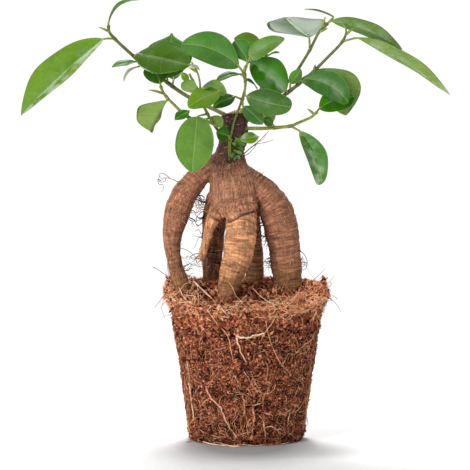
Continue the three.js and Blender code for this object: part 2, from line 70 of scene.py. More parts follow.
def shown(name, data):
    """A new object in the scene."""
    made = bpy.data.objects.new(name, data)
    scene.collection.objects.link(made)
    return made


lens = bpy.data.cameras.new("photograph_lens")
lens.sensor_width = SENSOR
lens.lens = SENSOR * LENS_IN_PIXELS / PHOTO_SIDE
lens.clip_end = FARTHEST
camera = shown("camera", lens)
camera.location = EYE * MM
camera.rotation_euler = VIEW_LINE.to_track_quat("-Z", "Y").to_euler()
scene.camera = camera


def photo_line(across, down):
    """The direction from the eye through a place in the photograph, in its pixels."""
    middle = PHOTO_SIDE / 2
    sideways = VIEW_RIGHT * ((across - middle) / LENS_IN_PIXELS)
    upwards = VIEW_UP * ((middle - down) / LENS_IN_PIXELS)
    return (VIEW_LINE + sideways + upwards).normalized()


def photo_point(across, down, depth):
    """The point at a depth (mm behind the trunk's middle) that shows at a place in the photograph."""
    line = photo_line(across, down)
    return EYE + line * ((depth - EYE.y) / line.y)


print("lens", round(lens.lens, 1), "mm")

# %% [markdown]
# ## Floor and light
# The photograph shows pure white with a soft shadow in front of the plug, so a strong lamp stood above and
# behind. The round roots are brightest at their upper left, so a second large lamp stood there in front. The
# rest is a dim sky that fills the shadows. Its lowest part is white, like the paper behind the plant.

# %% Make the floor and the lamps
PAPER_WHITE = (1, 1, 1, 1)
SKY_GREY = (0.5, 0.5, 0.5, 1)
PAPER_TOP, SKY_START = 0.12, 0.3
SKY_STRENGTH = 1.04
LAMPS = [
    ("overhead_lamp", (-0.05, 0.8, 1.3), (0, -0.05, 0.1), 0.42, 24),
    ("front_lamp", (-1.1, -1.5, 0.8), (0, 0, 0.15), 0.7, 29),
]

scene.view_settings.view_transform = "Standard"
sky = bpy.data.worlds.new("white_studio")
sky.use_nodes = True
sky_tree = sky.node_tree
direction = sky_tree.nodes.new("ShaderNodeTexCoord")
heights = sky_tree.nodes.new("ShaderNodeSeparateXYZ")
fading = sky_tree.nodes.new("ShaderNodeValToRGB")
glow = sky_tree.nodes["Background"]
sky_tree.links.new(direction.outputs["Generated"], heights.inputs[0])
sky_tree.links.new(heights.outputs["Z"], fading.inputs["Fac"])
sky_tree.links.new(fading.outputs["Color"], glow.inputs["Color"])
sky_stops = [(PAPER_TOP, PAPER_WHITE), (SKY_START, SKY_GREY)]
for stop, (stop_height, stop_colour) in zip(fading.color_ramp.elements, sky_stops):
    stop.position = stop_height
    stop.color = stop_colour
glow.inputs["Strength"].default_value = SKY_STRENGTH
scene.world = sky


def soft_lamp(name, place, target, width, power):
    """A square lamp in metres that looks at a target."""
    light = bpy.data.lights.new(name, "AREA")
    light.size = width
    light.energy = power
    lamp = shown(name, light)
    lamp.location = place
    lamp.rotation_euler = (Vector(target) - Vector(place)).to_track_quat("-Z", "Y").to_euler()


for lamp_values in LAMPS:
    soft_lamp(*lamp_values)

FLOOR_REACH = 0.7
FLOOR_RINGS = 14
FLOOR_SPOKES = 72
turns = np.linspace(0, 2 * np.pi, FLOOR_SPOKES, endpoint=False)
floor_points = [(0.0, 0.0, 0.0)]
for reach in np.linspace(0, FLOOR_REACH, FLOOR_RINGS + 1)[1:]:
    floor_points += [(reach * math.cos(turn), reach * math.sin(turn), 0.0) for turn in turns]
floor_faces = [(0, 1 + i, 1 + (i + 1) % FLOOR_SPOKES) for i in range(FLOOR_SPOKES)]
for ring in range(FLOOR_RINGS - 1):
    inner, outer = 1 + ring * FLOOR_SPOKES, 1 + (ring + 1) * FLOOR_SPOKES
    for i in range(FLOOR_SPOKES):
        after = (i + 1) % FLOOR_SPOKES
        floor_faces.append((inner + i, outer + i, outer + after, inner + after))
floor_mesh = bpy.data.meshes.new("floor")
floor_mesh.from_pydata(floor_points, [], floor_faces)
floor = shown("floor", floor_mesh)
print("floor", 2 * FLOOR_REACH, "m across")

# %% [markdown]
# ## Helpers for materials
# A procedural material is a chain of small steps: a pattern, a ramp that gives it colours, a mask that mixes
# two of them. These helpers add one step at a time, so that each finish below reads like a recipe. Colours
# are written from 0 to 255, as on a paint chart, and are made linear for the shader.


# %% Write the material helpers
def paint(red, green, blue):
    """A paint-chart colour as the shader's linear colour."""
    def linear(level):
        share = level / 255
        return share / 12.92 if share <= 0.04045 else ((share + 0.055) / 1.055) ** 2.4

    return (linear(red), linear(green), linear(blue), 1.0)


class Recipe:
    """A material that is built up step by step."""

    def __init__(self, name, roughness, **settings):
        self.material = bpy.data.materials.new(name)
        self.material.use_nodes = True
        self.tree = self.material.node_tree
        self.finish = self.tree.nodes["Principled BSDF"]
        self.finish.inputs["Roughness"].default_value = roughness
        for socket, value in settings.items():
            self.finish.inputs[socket.replace("_", " ")].default_value = value

    def feed(self, socket, value):
        """Gives a socket its number or colour, or links it to the socket that it reads."""
        if isinstance(value, bpy.types.NodeSocket):
            self.tree.links.new(value, socket)
        else:
            socket.default_value = value

    def step(self, kind, inputs, output=0, **settings):
        """One node. Its inputs are numbers, colours or the sockets that it reads."""
        node = self.tree.nodes.new("ShaderNode" + kind)
        for name, value in settings.items():
            setattr(node, name, value)
        for name, value in inputs.items():
            self.feed(node.inputs[name], value)
        return node.outputs[output]

    def measured(self, name, output="Fac"):
        """A value that was stored on the mesh."""
        return self.step("Attribute", {}, output, attribute_name=name)

    def place(self):
        """The place on the object, in metres."""
        return self.step("TexCoord", {}, "Object")

    def stretched(self, vector, x, y, z):
        """Places drawn out along the axes, so that a pattern gets a direction."""
        return self.step("VectorMath", {0: vector, 1: (x, y, z)}, operation="MULTIPLY")

    def cloud(self, vector, scale, detail=3, rough=0.55):
        """A soft random pattern from 0 to 1."""
        inputs = {"Vector": vector, "Scale": scale, "Detail": detail, "Roughness": rough}
        return self.step("TexNoise", inputs)

    def cells(self, vector, scale, output="Distance"):
        """A pattern of cells: the distance from each cell's middle, or its random colour."""
        return self.step("TexVoronoi", {"Vector": vector, "Scale": scale}, output)

    def ranged(self, value, low, high, to_low=0.0, to_high=1.0):
        """A value moved from one range to another and held inside it."""
        inputs = {"Value": value, "From Min": low, "From Max": high, "To Min": to_low, "To Max": to_high}
        return self.step("MapRange", inputs)

    def tones(self, vector, scale):
        """One random tone from 0 to 1 for each cell of a pattern of cells."""
        return self.step("SeparateColor", {"Color": self.cells(vector, scale, "Color")}, "Red")

    def shaken(self, vector, scale, reach):
        """Places moved about at random by a few tenths of a millimetre, so that patterns look torn."""
        wobble = self.step("TexNoise", {"Vector": vector, "Scale": scale, "Detail": 2.0}, "Color")
        moved = self.step("VectorMath", {0: wobble, 1: (0.5, 0.5, 0.5)}, operation="SUBTRACT")
        return self.step("VectorMath", {0: moved, 1: (reach,) * 3, 2: vector}, operation="MULTIPLY_ADD")

    def sum(self, first, second, operation="ADD"):
        """Two values added, or joined by another operation."""
        return self.step("Math", {0: first, 1: second}, operation=operation)

    def mixed(self, share, first, second, blend="MIX"):
        """Two colours mixed by a share from 0 to 1."""
        node = self.tree.nodes.new("ShaderNodeMix")
        node.data_type = "RGBA"
        node.blend_type = blend
        for name, value in {"Factor": share, "A": first, "B": second}.items():
            self.feed(next(s for s in node.inputs if s.name == name and s.enabled), value)
        return next(s for s in node.outputs if s.enabled)

    def ramp(self, value, *stops):
        """Colours along a value, as (place, colour) from low to high."""
        node = self.tree.nodes.new("ShaderNodeValToRGB")
        self.tree.links.new(value, node.inputs["Fac"])
        band = node.color_ramp
        while len(band.elements) < len(stops):
            band.elements.new(1.0)
        for element, (place, colour) in zip(band.elements, stops):
            element.position = place
            element.color = colour
        return node.outputs["Color"]

    def relief(self, height, depth, below=None):
        """Fine relief in the light alone, with its depth in millimetres."""
        inputs = {"Height": height, "Distance": depth * MM, "Strength": 1.0}
        if below is not None:
            inputs["Normal"] = below
        return self.step("Bump", inputs)

    def done(self, colour, normal=None):
        """The finished material, with its colour and its relief."""
        self.tree.links.new(colour, self.finish.inputs["Base Color"])
        if normal is not None:
            self.tree.links.new(normal, self.finish.inputs["Normal"])
        return self.material


def two_tone(name, roughness, gloss, grain, detail, *tones):
    """A finish that varies between two tones in a soft random grain."""
    recipe = Recipe(name, roughness, Specular_IOR_Level=gloss)
    return recipe.done(recipe.ramp(recipe.cloud(recipe.place(), grain, detail), *tones))


# Painted light: the floor is darker within 0.2 m of the plant and lighter beyond 0.5 m, which evens out the
# lamps' falloff, so that the far floor turns as white as the sky's lowest part.
PAINTED_FLOOR_FALLOFF = [(0.2, paint(221, 221, 221)), (0.5, paint(250, 250, 250))]
# A painted shadow on the floor: an oval round the plug's foot, reaching further to the front, darkens the
# floor's colour to half near the foot.
PAINTED_FOOT_SHADOW_TONES = [(0.5, (0.5, 0.5, 0.5, 1)), (1.0, (1, 1, 1, 1))]
PAINTED_SHADOW_OFFSET = (0, 0.036, 0)
PAINTED_SHADOW_STRETCH = (19.0, 11.5, 1.0)

floor_recipe = Recipe("pale_floor", 0.9, Specular_IOR_Level=0.1)
floor_place = floor_recipe.place()
from_middle = floor_recipe.step("VectorMath", {0: floor_place}, "Value", operation="LENGTH")
mottle = floor_recipe.ranged(floor_recipe.cloud(floor_place, 3.0), 0.3, 0.7, -0.01, 0.01)
paleness = floor_recipe.sum(from_middle, mottle)
# The floor's colour carries painted light, lighter away from the plant.
floor_colour = floor_recipe.ramp(paleness, *PAINTED_FLOOR_FALLOFF)
# Painted shadow: the floor's colour is multiplied by a dark oval round the plug's foot.
from_painted_shadow = floor_recipe.step("VectorMath", {0: floor_place, 1: PAINTED_SHADOW_OFFSET}, operation="ADD")
from_painted_shadow = floor_recipe.stretched(from_painted_shadow, *PAINTED_SHADOW_STRETCH)
from_painted_shadow = floor_recipe.step("VectorMath", {0: from_painted_shadow}, "Value", operation="LENGTH")
painted_foot_shadow = floor_recipe.ramp(from_painted_shadow, *PAINTED_FOOT_SHADOW_TONES)
floor_colour = floor_recipe.mixed(1.0, floor_colour, painted_foot_shadow, "MULTIPLY")
floor.data.materials.append(floor_recipe.done(floor_colour))
print("floor finish ready")

# %% [markdown]
# ## Helpers for shapes
# Fibres, roots, stalks and stems are all tubes along a curved way, and there are thousands of them. Blender's
# curve objects could draw them one by one, but arrays are much faster: one call makes a whole bundle of
# tubes. A heap gathers such pieces, with the values that the materials read, and turns them into one mesh.

# %% Write the shape helpers
ATTRIBUTE_KINDS = {1: ("FLOAT", "value"), 3: ("FLOAT_VECTOR", "vector"), 4: ("FLOAT_COLOR", "color")}


def store(mesh, key, values):
    """Stores a number, a vector or a colour for each point of a mesh, for its material to read."""
    values = np.asarray(values, float)
    kind, field = ATTRIBUTE_KINDS[values.shape[1] if values.ndim > 1 else 1]
    attribute = mesh.attributes.new(key, kind, "POINT")
    attribute.data.foreach_set(field, values.astype(np.float32).ravel())


class Heap:
    """Points, faces, a material number for each face and named values for each point."""

    def __init__(self):
        self.chunks = []
        self.count = 0

    def add(self, points, faces, slot=0, **values):
        """One more chunk, with its values for each point or for all of them."""
        shifted = [tuple(index + self.count for index in face) for face in faces]
        self.chunks.append((np.asarray(points, float), shifted, slot, values))
        self.count += len(points)

    def more_faces(self, faces, slot):
        """Faces of another material on the points that were added last."""
        first = self.count - len(self.chunks[-1][0])
        shifted = [tuple(index + first for index in face) for face in faces]
        values = {key: np.zeros((0, np.shape(value)[-1])) for key, value in self.chunks[-1][3].items()}
        self.chunks.append((np.zeros((0, 3)), shifted, slot, values))

    def piece(self, name, materials, smooth=True):
        """The heap as one object in metres, which rides on the plant."""
        mesh = bpy.data.meshes.new(name)
        points = np.vstack([chunk[0] for chunk in self.chunks]) * MM
        mesh.from_pydata(points.tolist(), [], [face for chunk in self.chunks for face in chunk[1]])
        for material in materials:
            mesh.materials.append(material)
        slots = np.concatenate([np.full(len(chunk[1]), chunk[2]) for chunk in self.chunks])
        mesh.polygons.foreach_set("material_index", slots.astype(np.int32))
        mesh.polygons.foreach_set("use_smooth", np.full(len(slots), smooth))
        for key in sorted({key for chunk in self.chunks for key in chunk[3]}):
            store(mesh, key, self.column(key))
        made = shown(name, mesh)
        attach(made, "root")
        return made

    def column(self, key):
        """One named value for every point of the heap, zero in the chunks that have none."""
        sample = next(np.asarray(chunk[3][key]) for chunk in self.chunks if key in chunk[3])
        width = sample.shape[-1] if sample.ndim else 1
        return np.vstack([
            np.broadcast_to(np.asarray(chunk[3].get(key, 0.0), float), (len(chunk[0]), width))
            for chunk in self.chunks
        ])


def unit(vectors):
    """Vectors of length 1 in the same directions."""
    return vectors / np.maximum(np.linalg.norm(vectors, axis=-1, keepdims=True), 1e-9)


def smooth_way(points, stations):
    """Places along a smooth curve through the points, the same curve as the solids follow."""
    points = np.asarray(points, float)
    ends = np.vstack([2 * points[0] - points[1], points, 2 * points[-1] - points[-2]])
    share = np.linspace(0, len(points) - 1, stations)
    index = np.minimum(share.astype(int), len(points) - 2)
    t = (share - index)[:, None]
    p0, p1, p2, p3 = (ends[index + k] for k in range(4))
    d0, d1, d2 = (
        np.sqrt(np.linalg.norm(b - a, axis=1, keepdims=True)) for a, b in ((p0, p1), (p1, p2), (p2, p3))
    )
    m1 = ((p1 - p0) / d0 - (p2 - p0) / (d0 + d1) + (p2 - p1) / d1) * d1
    m2 = ((p2 - p1) / d1 - (p3 - p1) / (d1 + d2) + (p3 - p2) / d2) * d1
    cubic = 2 * t**3 - 3 * t**2 + 1
    return cubic * p1 + (1 - cubic) * p2 + (t**3 - 2 * t**2 + t) * m1 + (t**3 - t**2) * m2


def tubes(ways, radii, sides):
    """Closed tubes along many ways at once (tubes x stations x 3), as points and faces."""
    ways = np.asarray(ways, float)
    count, stations = ways.shape[:2]
    ahead = unit(np.gradient(ways, axis=1))
    spare = np.eye(3)[np.argmin(np.abs(ahead[:, 0]), axis=1)]
    across = np.zeros_like(ways)
    last = spare
    for i in range(stations):
        last = unit(last - ahead[:, i] * np.sum(last * ahead[:, i], axis=1, keepdims=True))
        across[:, i] = last
    up = np.cross(ahead, across)
    turn = np.linspace(0, 2 * np.pi, sides, endpoint=False)
    out = across[:, :, None] * np.cos(turn)[:, None] + up[:, :, None] * np.sin(turn)[:, None]
    rings = ways[:, :, None] + out * np.broadcast_to(radii, (count, stations))[:, :, None, None]
    shell = np.concatenate([rings.reshape(count, -1, 3), ways[:, :1], ways[:, -1:]], axis=1)
    one = []
    end = stations * sides
    for k in range(sides):
        after = (k + 1) % sides
        for row in range(0, end - sides, sides):
            one.append((row + k, row + after, row + sides + after, row + sides + k))
        one.append((end, after, k))
        one.append((end + 1, end - sides + k, end - sides + after))
    size = end + 2
    faces = [tuple(index + size * n for index in face) for n in range(count) for face in one]
    return shell.reshape(-1, 3), faces


def for_tubes(values, ways, sides):
    """One value for each tube, repeated for each of its points."""
    return np.repeat(np.asarray(values, float), ways.shape[1] * sides + 2, axis=0)


def in_photo(points):
    """Where points show in the photograph, in its pixels."""
    offset = np.asarray(points) - np.array(EYE)
    scale = LENS_IN_PIXELS / (offset @ np.array(VIEW_LINE))
    across = PHOTO_SIDE / 2 + scale * (offset @ np.array(VIEW_RIGHT))
    down = PHOTO_SIDE / 2 - scale * (offset @ np.array(VIEW_UP))
    return np.stack([across, down], axis=1)


def eased(values, low, high):
    """A soft step from 0 at low to 1 at high."""
    share = np.clip((np.asarray(values, float) - low) / (high - low), 0, 1)
    return share * share * (3 - 2 * share)


def scattered(count, weights, draw):
    """The numbers of random points, drawn to where the weights are high and none of them twice."""
    return draw.choice(len(weights), count, replace=False, p=weights / weights.sum())


def closeness(points, middle, reach):
    """1 at a middle and softly down to 0 beyond its reach."""
    return np.exp(-np.sum((points - np.array(middle)) ** 2, axis=1) / reach**2)


def lumps(points, size, octaves=3, seed=0):
    """A random field of lumps of about that size, between -1 and 1."""
    shift = Vector((17.3 * seed, 5.1 * seed, 11.7 * seed))
    return np.array([noise.fractal(Vector(p) / size + shift, 1.0, 2.0, octaves) for p in points])


def grains(points, size, seed=0):
    """Round grains of about that size: 1 in the middle of a grain and 0 where two meet."""
    shift = Vector((13.1 * seed, 7.7 * seed, 3.9 * seed))
    found = (noise.voronoi(Vector(p) / size + shift)[0] for p in points)
    return np.array([min(near[1] - near[0], 0.6) / 0.6 for near in found])


print("helpers ready")

# %% [markdown]
# ## A finer skin for a solid
# The solids have large flat facets. A subdivision would only round each facet, so the copy is remeshed
# instead: Blender fills the solid with small cubes and draws an even skin round them. The joints between the
# limbs come out as one surface too, as on a thing that grew. Averaging each point with its neighbours then
# removes the steps, and pushing it out again keeps the thin roots from shrinking.


# %% Write the skin helpers
class Skin:
    """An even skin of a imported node, in millimetres, whose points can be moved freely."""

    def __init__(self, node, cell):
        copy = shown("skin_of_" + node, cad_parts[node].data.copy())
        remesh = copy.modifiers.new("even_skin", "REMESH")
        remesh.mode = "VOXEL"
        remesh.voxel_size = cell * MM
        solid = copy.evaluated_get(bpy.context.evaluated_depsgraph_get())
        self.mesh = bpy.data.meshes.new_from_object(solid)
        bpy.data.objects.remove(copy)
        self.mesh.materials.clear()
        flat = np.zeros(3 * len(self.mesh.vertices), np.float32)
        self.mesh.vertices.foreach_get("co", flat)
        self.points = flat.reshape(-1, 3).astype(float) / MM
        ends = np.zeros(2 * len(self.mesh.edges), np.int32)
        self.mesh.edges.foreach_get("vertices", ends)
        self.ends = ends.reshape(-1, 2)

    def neighbours(self):
        """The middle of each point's neighbours."""
        count = len(self.points)
        total = np.zeros((count, 3))
        near = np.zeros(count)
        for here, there in ((0, 1), (1, 0)):
            for axis in range(3):
                total[:, axis] += np.bincount(
                    self.ends[:, here], self.points[self.ends[:, there], axis], count
                )
            near += np.bincount(self.ends[:, here], minlength=count)
        return total / near[:, None]

    def calm(self, rounds):
        """Smooths without shrinking: a step in, and a slightly longer step out."""
        for _ in range(rounds):
            self.points += 0.5 * (self.neighbours() - self.points)
            self.points -= 0.52 * (self.neighbours() - self.points)

    def fill_creases(self, rounds):
        """Raises only the hollows, so that limbs flow into each other."""
        for _ in range(rounds):
            step = self.neighbours() - self.points
            rise = np.sum(step * self.normals(), axis=1)
            self.points += 0.8 * step * (rise > 0)[:, None]

    def normals(self):
        """The skin's outward directions, after its points have moved."""
        self.mesh.vertices.foreach_set("co", (self.points * MM).astype(np.float32).ravel())
        self.mesh.update()
        flat = np.zeros(3 * len(self.points), np.float32)
        self.mesh.vertex_normals.foreach_get("vector", flat)
        return flat.reshape(-1, 3).astype(float)

    def raise_by(self, heights):
        """Moves each point outward by its height."""
        self.points += self.normals() * np.asarray(heights)[:, None]

    def tree(self):
        """A search tree for the nearest place on the skin."""
        self.normals()
        polygons = [tuple(face.vertices) for face in self.mesh.polygons]
        return BVHTree.FromPolygons(self.points.tolist(), polygons)

    def piece(self, name, material, node, slot, **values):
        """The skin as an object that stands for its node."""
        self.normals()
        self.mesh.materials.append(material)
        self.mesh.polygons.foreach_set("use_smooth", np.ones(len(self.mesh.polygons), bool))
        for key, value in values.items():
            store(self.mesh, key, value)
        made = shown(name, self.mesh)
        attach(made, "root")
        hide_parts(node)
        return made


def seen_at(tree, across, down):
    """The place on a skin that shows at a place in the photograph, and its normal, or None twice."""
    return tree.ray_cast(EYE, photo_line(across, down))[:2]


def nearest(tree, place):
    """The nearest place on a skin and its normal."""
    return tree.find_nearest(place)[:2]


print("skins ready")

# %% [markdown]
# ## The wood: which way the bark runs
# Bark wrinkles run round a root and its grain runs along it, so the finish has to know each root's own
# direction. The centre lines below follow the solids in a few points, each with its radius. Every point of
# the skin takes the nearest line and stores how far along it lies and on which side.

# %% Lay the wood's centre lines
WOOD_LINES = {
    "trunk": [
        (-11, -1, 236, 8.8), (-8.3, -0.5, 217, 9.6), (-12.4, 0, 201, 12), (-10.6, -2, 186, 16.4),
        (-9.8, -3, 177, 17), (-11, -3, 162, 9.5),
    ],
    "left_root": [
        (-14, 0, 203, 7.5), (-29, -1.5, 194.5, 7.6), (-42.5, -4, 180.5, 9), (-51, -7, 160, 9.2),
        (-53.4, -7, 140, 5.8), (-50.2, -6, 122, 5.7), (-44.6, -5.5, 104, 6),
    ],
    "right_root": [
        (-5, 1.5, 189, 11), (8.5, 2, 180, 11.2), (19.8, 1, 167, 12.4), (25.7, 0, 147, 12.4),
        (28.5, 1, 127, 11.2), (30, 2, 107, 10.2),
    ],
    "front_root": [
        (-4, -5, 170, 9.5), (-3.8, -17, 152, 11.2), (-6.2, -21, 135, 10.8), (-10.8, -23, 120, 9),
        (-15.2, -25.5, 101, 5.9),
    ],
    "back_left_root": [(-19, 2, 178, 7), (-27, 12.5, 163, 5), (-28, 20, 133, 4.1), (-29.4, 23.5, 105, 3.4)],
    "hanging_root": [(-19, -2, 171, 5), (-24, -8.5, 160, 4.4), (-28.6, -11, 144, 3.3), (-32, -11, 131, 1.2)],
    "back_right_root": [(-2, 4, 178, 10), (2.8, 15, 158, 7.4), (5.5, 22, 132, 6.9), (5.9, 25, 110, 6.8)],
    "back_root": [(-14, 3, 178, 8), (-20, 17, 155, 5.3), (-22, 32.5, 127, 4.6), (-22, 39, 95, 3)],
}
RINGED = {"front_root": 0.72, "right_root": 0.75, "back_right_root": 0.8, "left_root": 0.35}
HARDLY_RINGED = 0.2
LINE_STEPS = 24
LIMB_STEP = 300


def bark_places(points):
    """For each point the offset from its limb's line and the way along it, and how ringed the limb is."""
    best = np.full(len(points), np.inf)
    places = np.zeros((len(points), 3))
    ringed = np.zeros(len(points))
    for number, (name, line) in enumerate(WOOD_LINES.items()):
        line = smooth_way(line, LINE_STEPS)
        way, radii = line[:, :3], line[:, 3]
        walked = np.concatenate([[0], np.cumsum(np.linalg.norm(np.diff(way, axis=0), axis=1))])
        offsets = points[:, None] - way[None]
        gaps = np.linalg.norm(offsets, axis=2) - radii
        station = np.argmin(gaps, axis=1)
        gap = gaps[np.arange(len(points)), station]
        closer = gap < best
        best[closer] = gap[closer]
        ahead = unit(np.gradient(way, axis=0))[station]
        side = unit(np.cross(ahead, np.array([0.0, 1.0, 0.3])))
        up = np.cross(side, ahead)
        offset = offsets[np.arange(len(points)), station]
        place = np.stack([
            np.sum(offset * side, axis=1),
            np.sum(offset * up, axis=1),
            walked[station] + np.sum(offset * ahead, axis=1) + LIMB_STEP * number,
        ], axis=1)
        places[closer] = place[closer]
        ringed[closer] = RINGED.get(name, HARDLY_RINGED)
    return places, ringed


def on_limb(places, name):
    """Which of the bark's places lie on a limb."""
    return places[:, 2] // LIMB_STEP == list(WOOD_LINES).index(name)


print(len(WOOD_LINES), "limbs of wood")

# %% [markdown]
# ## The wood: shape
# The real trunk has soft dents and swellings, rings where a root was once squeezed, and a sharp fold where
# the belly hangs over the front root. A sculptor would push these in by hand. Here three random fields do
# it: broad lumps, rings that follow each limb, and a fine unevenness. The folds and knobs that the photograph
# shows are given one by one: a fold by its line in the photograph, a knob by its place and reach.

# %% Grow the trunk's skin
WOOD_CELL = 0.71
FIRST_CALM, FILLING, LAST_CALM = 6, 14, 2
BROAD_LUMP = 0.6
RING_DEPTH = 0.75
STRIA_DEPTH = 0.22
FINE_LUMP = 0.16
MM_PER_PIXEL = 0.72
FOLDS = [
    (3.3, 2.6, [(211, 214), (217, 219), (225, 221), (233, 219), (240, 214.5), (249, 211.5), (256.5, 209),
                (257.5, 202), (255.5, 194)]),
    (0.5, 0.7, [(217, 202), (226, 203), (236, 200), (246, 197), (255, 193)]),
    (0.4, 0.6, [(238, 176), (246, 174), (254, 170)]),
    (0.3, 0.7, [(224, 262), (231, 265), (238, 263)]),
    (0.3, 0.6, [(236, 232), (246, 234), (255, 231)]),
    (0.3, 0.6, [(272, 204), (283, 206), (294, 203)]),
]
FOLD_SPOTS = 40
BULGE_PLACE, BULGE_WIDTH = 3.2, 2.8
PINCH_PLACE, PINCH_WIDTH = 0.5, 1.0
KNOBS = [
    ((-31.5, -11, 133.5), 1.3, 4.5), ((-29.5, -11, 140), 0.5, 5), ((-22, -10, 159), 1.5, 4.0),
    ((-25.5, -10, 153), -0.7, 3.0), ((-17, -12, 158), 1.2, 3.0), ((-45, -12, 178), 0.7, 6),
    ((22, -12, 172), 0.8, 7), ((36, -8, 150), 0.7, 8), ((-52, -12, 150), 0.6, 7), ((-12, -32, 118), 0.7, 6),
]


def fold_heights(points, normals, bulge, pinch, route):
    """A swelling above a line of the photograph and a groove along it, on the side that shows."""
    route = [(across, down, 0) for across, down in route]
    line = smooth_way(route, FOLD_SPOTS)[:, :2]
    spots = in_photo(points)
    offsets = spots[:, None] - line[None]
    station = np.argmin(np.linalg.norm(offsets, axis=2), axis=1)
    offset = offsets[np.arange(len(points)), station] * MM_PER_PIXEL
    course = np.gradient(line, axis=0)[station]
    above = course[:, 0] * offset[:, 1] - course[:, 1] * offset[:, 0] < 0
    away = np.linalg.norm(offset, axis=1) * np.where(above, 1, -1)
    ends = np.sin(np.pi * np.clip(station / (FOLD_SPOTS - 1), 0.02, 0.98)) ** 0.5
    facing_us = eased(-normals[:, 1], 0.0, 0.3) * eased(-points[:, 1], 2, 7)
    swelling = bulge * np.exp(-(((away - BULGE_PLACE) / BULGE_WIDTH) ** 2))
    groove = pinch * np.exp(-(((away + PINCH_PLACE) / PINCH_WIDTH) ** 2))
    return (swelling - groove) * ends * facing_us


wood = Skin("trunk_and_roots", WOOD_CELL)
wood.calm(FIRST_CALM)
wood.fill_creases(FILLING)
wood.calm(LAST_CALM)
bark_place, ringed = bark_places(wood.points)
on_belly = on_limb(bark_place, "front_root") * eased(wood.points[:, 2], 158, 167)
ringed = ringed * (1 - 0.8 * on_belly)
normals = wood.normals()
folds = sum(fold_heights(wood.points, normals, *fold) for fold in FOLDS)
knobs = sum(rise * closeness(wood.points, place, reach) for place, rise, reach in KNOBS)
rings = 1 - np.abs(lumps(bark_place * np.array([0.16, 0.16, 1.0]), 3.4, 3, seed=2))
stria = lumps(bark_place * np.array([1.0, 1.0, 0.12]), 1.7, 2, seed=7)
on_neck = eased(wood.points[:, 2], 196, 208)
wood.raise_by(
    folds
    + knobs
    + BROAD_LUMP * lumps(wood.points, 11, 2, seed=1)
    - RING_DEPTH * ringed * rings**5
    + STRIA_DEPTH * (1 - 0.6 * ringed) * stria
    + (FINE_LUMP + 0.5 * on_neck) * lumps(wood.points, 1.9, 3, seed=3)
)
wood_tree = wood.tree()
print("wood skin", len(wood.points), "points")

# %% [markdown]
# ## The wood: colour
# The bark is a warm, matt brown. It is nearly black-purple on the neck, where it is youngest, orange-tan on
# the front root, and olive where it comes out of the damp coir. These broad tints follow from height and
# limb, so they are worked out per point. Wrinkles, grain and pale pores are too fine for the mesh and come
# from patterns in the material, which read the direction stored above.

# %% Tint and finish the bark
BROWN = np.array(paint(152, 103, 77))
BELLY_BROWN = np.array(paint(164, 115, 88))
NECK_DARK = np.array(paint(98, 69, 62))
NECK_TOP = np.array(paint(72, 47, 52))
FRONT_TAN = np.array(paint(204, 146, 104))
DAMP_OLIVE = np.array(paint(136, 96, 58))
PAINTED_BACK_SHADE = np.array(paint(122, 84, 60))
CUT_TAN = np.array(paint(206, 176, 132))
PAINTED_SHADE_DARK = np.array(paint(74, 46, 36))
SHADE_TONES = [
    (0.37, (0.30, 0.27, 0.25, 1)), (0.46, (0.72, 0.70, 0.68, 1)),
    (0.54, (1.18, 1.17, 1.16, 1)), (0.63, (2.1, 2.05, 1.95, 1)),
]

x, y, z = wood.points.T
patchy = lumps(wood.points, 9, 3, seed=4)
blotchy = lumps(wood.points, 3.5, 3, seed=14)
below_belly = eased(-z + 2.5 * patchy, -167, -159)
neck_edge = z + 8 * patchy - 0.10 * np.abs(x + 12) - 0.25 * np.maximum(x + 2, 0)
# Painted shade: the sides of the outer roots that face the middle, below the belly, are marked for a darker
# tint.
shaded_inner_side = eased(-normals[:, 0] * np.sign(x + 9), 0.1, 0.85) * eased(np.abs(x + 9), 14, 19) * (y < 14)
tint_layers = [
    (BELLY_BROWN, eased(-np.abs(x + 8), -22, -12) * (z > 150) * (y < 4)),
    (FRONT_TAN, 0.9 * below_belly * on_limb(bark_place, "front_root")),
    (FRONT_TAN, 0.6 * below_belly * on_limb(bark_place, "hanging_root")),
    # Painted shade: the back of the wood below the neck is tinted darker.
    (PAINTED_BACK_SHADE, 0.6 * eased(y, 6, 20) * (z < 190)),
    (DAMP_OLIVE, 0.8 * eased(-z + 6 * patchy, -136, -112)),
    (NECK_DARK, eased(neck_edge, 191, 206)),
    (NECK_TOP, 0.75 * eased(neck_edge, 207, 219)),
    # Painted shade: the fold grooves, those inner sides of the roots and the ring grooves are tinted darker.
    (PAINTED_SHADE_DARK, 0.75 * np.clip(-folds / 1.2, 0, 1)),
    (PAINTED_SHADE_DARK, 0.42 * shaded_inner_side * eased(-z, -196, -184)),
    (PAINTED_SHADE_DARK, 0.45 * ringed * rings**6),
    (CUT_TAN, eased(z, 235.0, 235.6)),
]
tint = np.tile(BROWN, (len(wood.points), 1))
for layer, share in tint_layers:
    tint = tint * (1 - share[:, None]) + layer * share[:, None]
tint[:, :3] *= (1 + 0.16 * patchy + 0.16 * blotchy)[:, None]

bark = Recipe("bark", 0.82, Specular_IOR_Level=0.25)
where = bark.measured("bark_place", "Vector")
here = bark.place()
ring_share = bark.measured("ringed")
torn = bark.shaken(where, 0.5, 1.2)
rings_fine = bark.cloud(bark.stretched(torn, 0.10, 0.10, 1.0), 0.7, 5, 0.68)
grain = bark.cloud(bark.stretched(torn, 1.0, 1.0, 0.14), 0.85, 5, 0.68)
speckle = bark.cloud(here, 1500, 3, 0.7)
wrinkle = bark.mixed(bark.ranged(ring_share, 0.1, 0.9, 0.14, 0.84), grain, rings_fine)
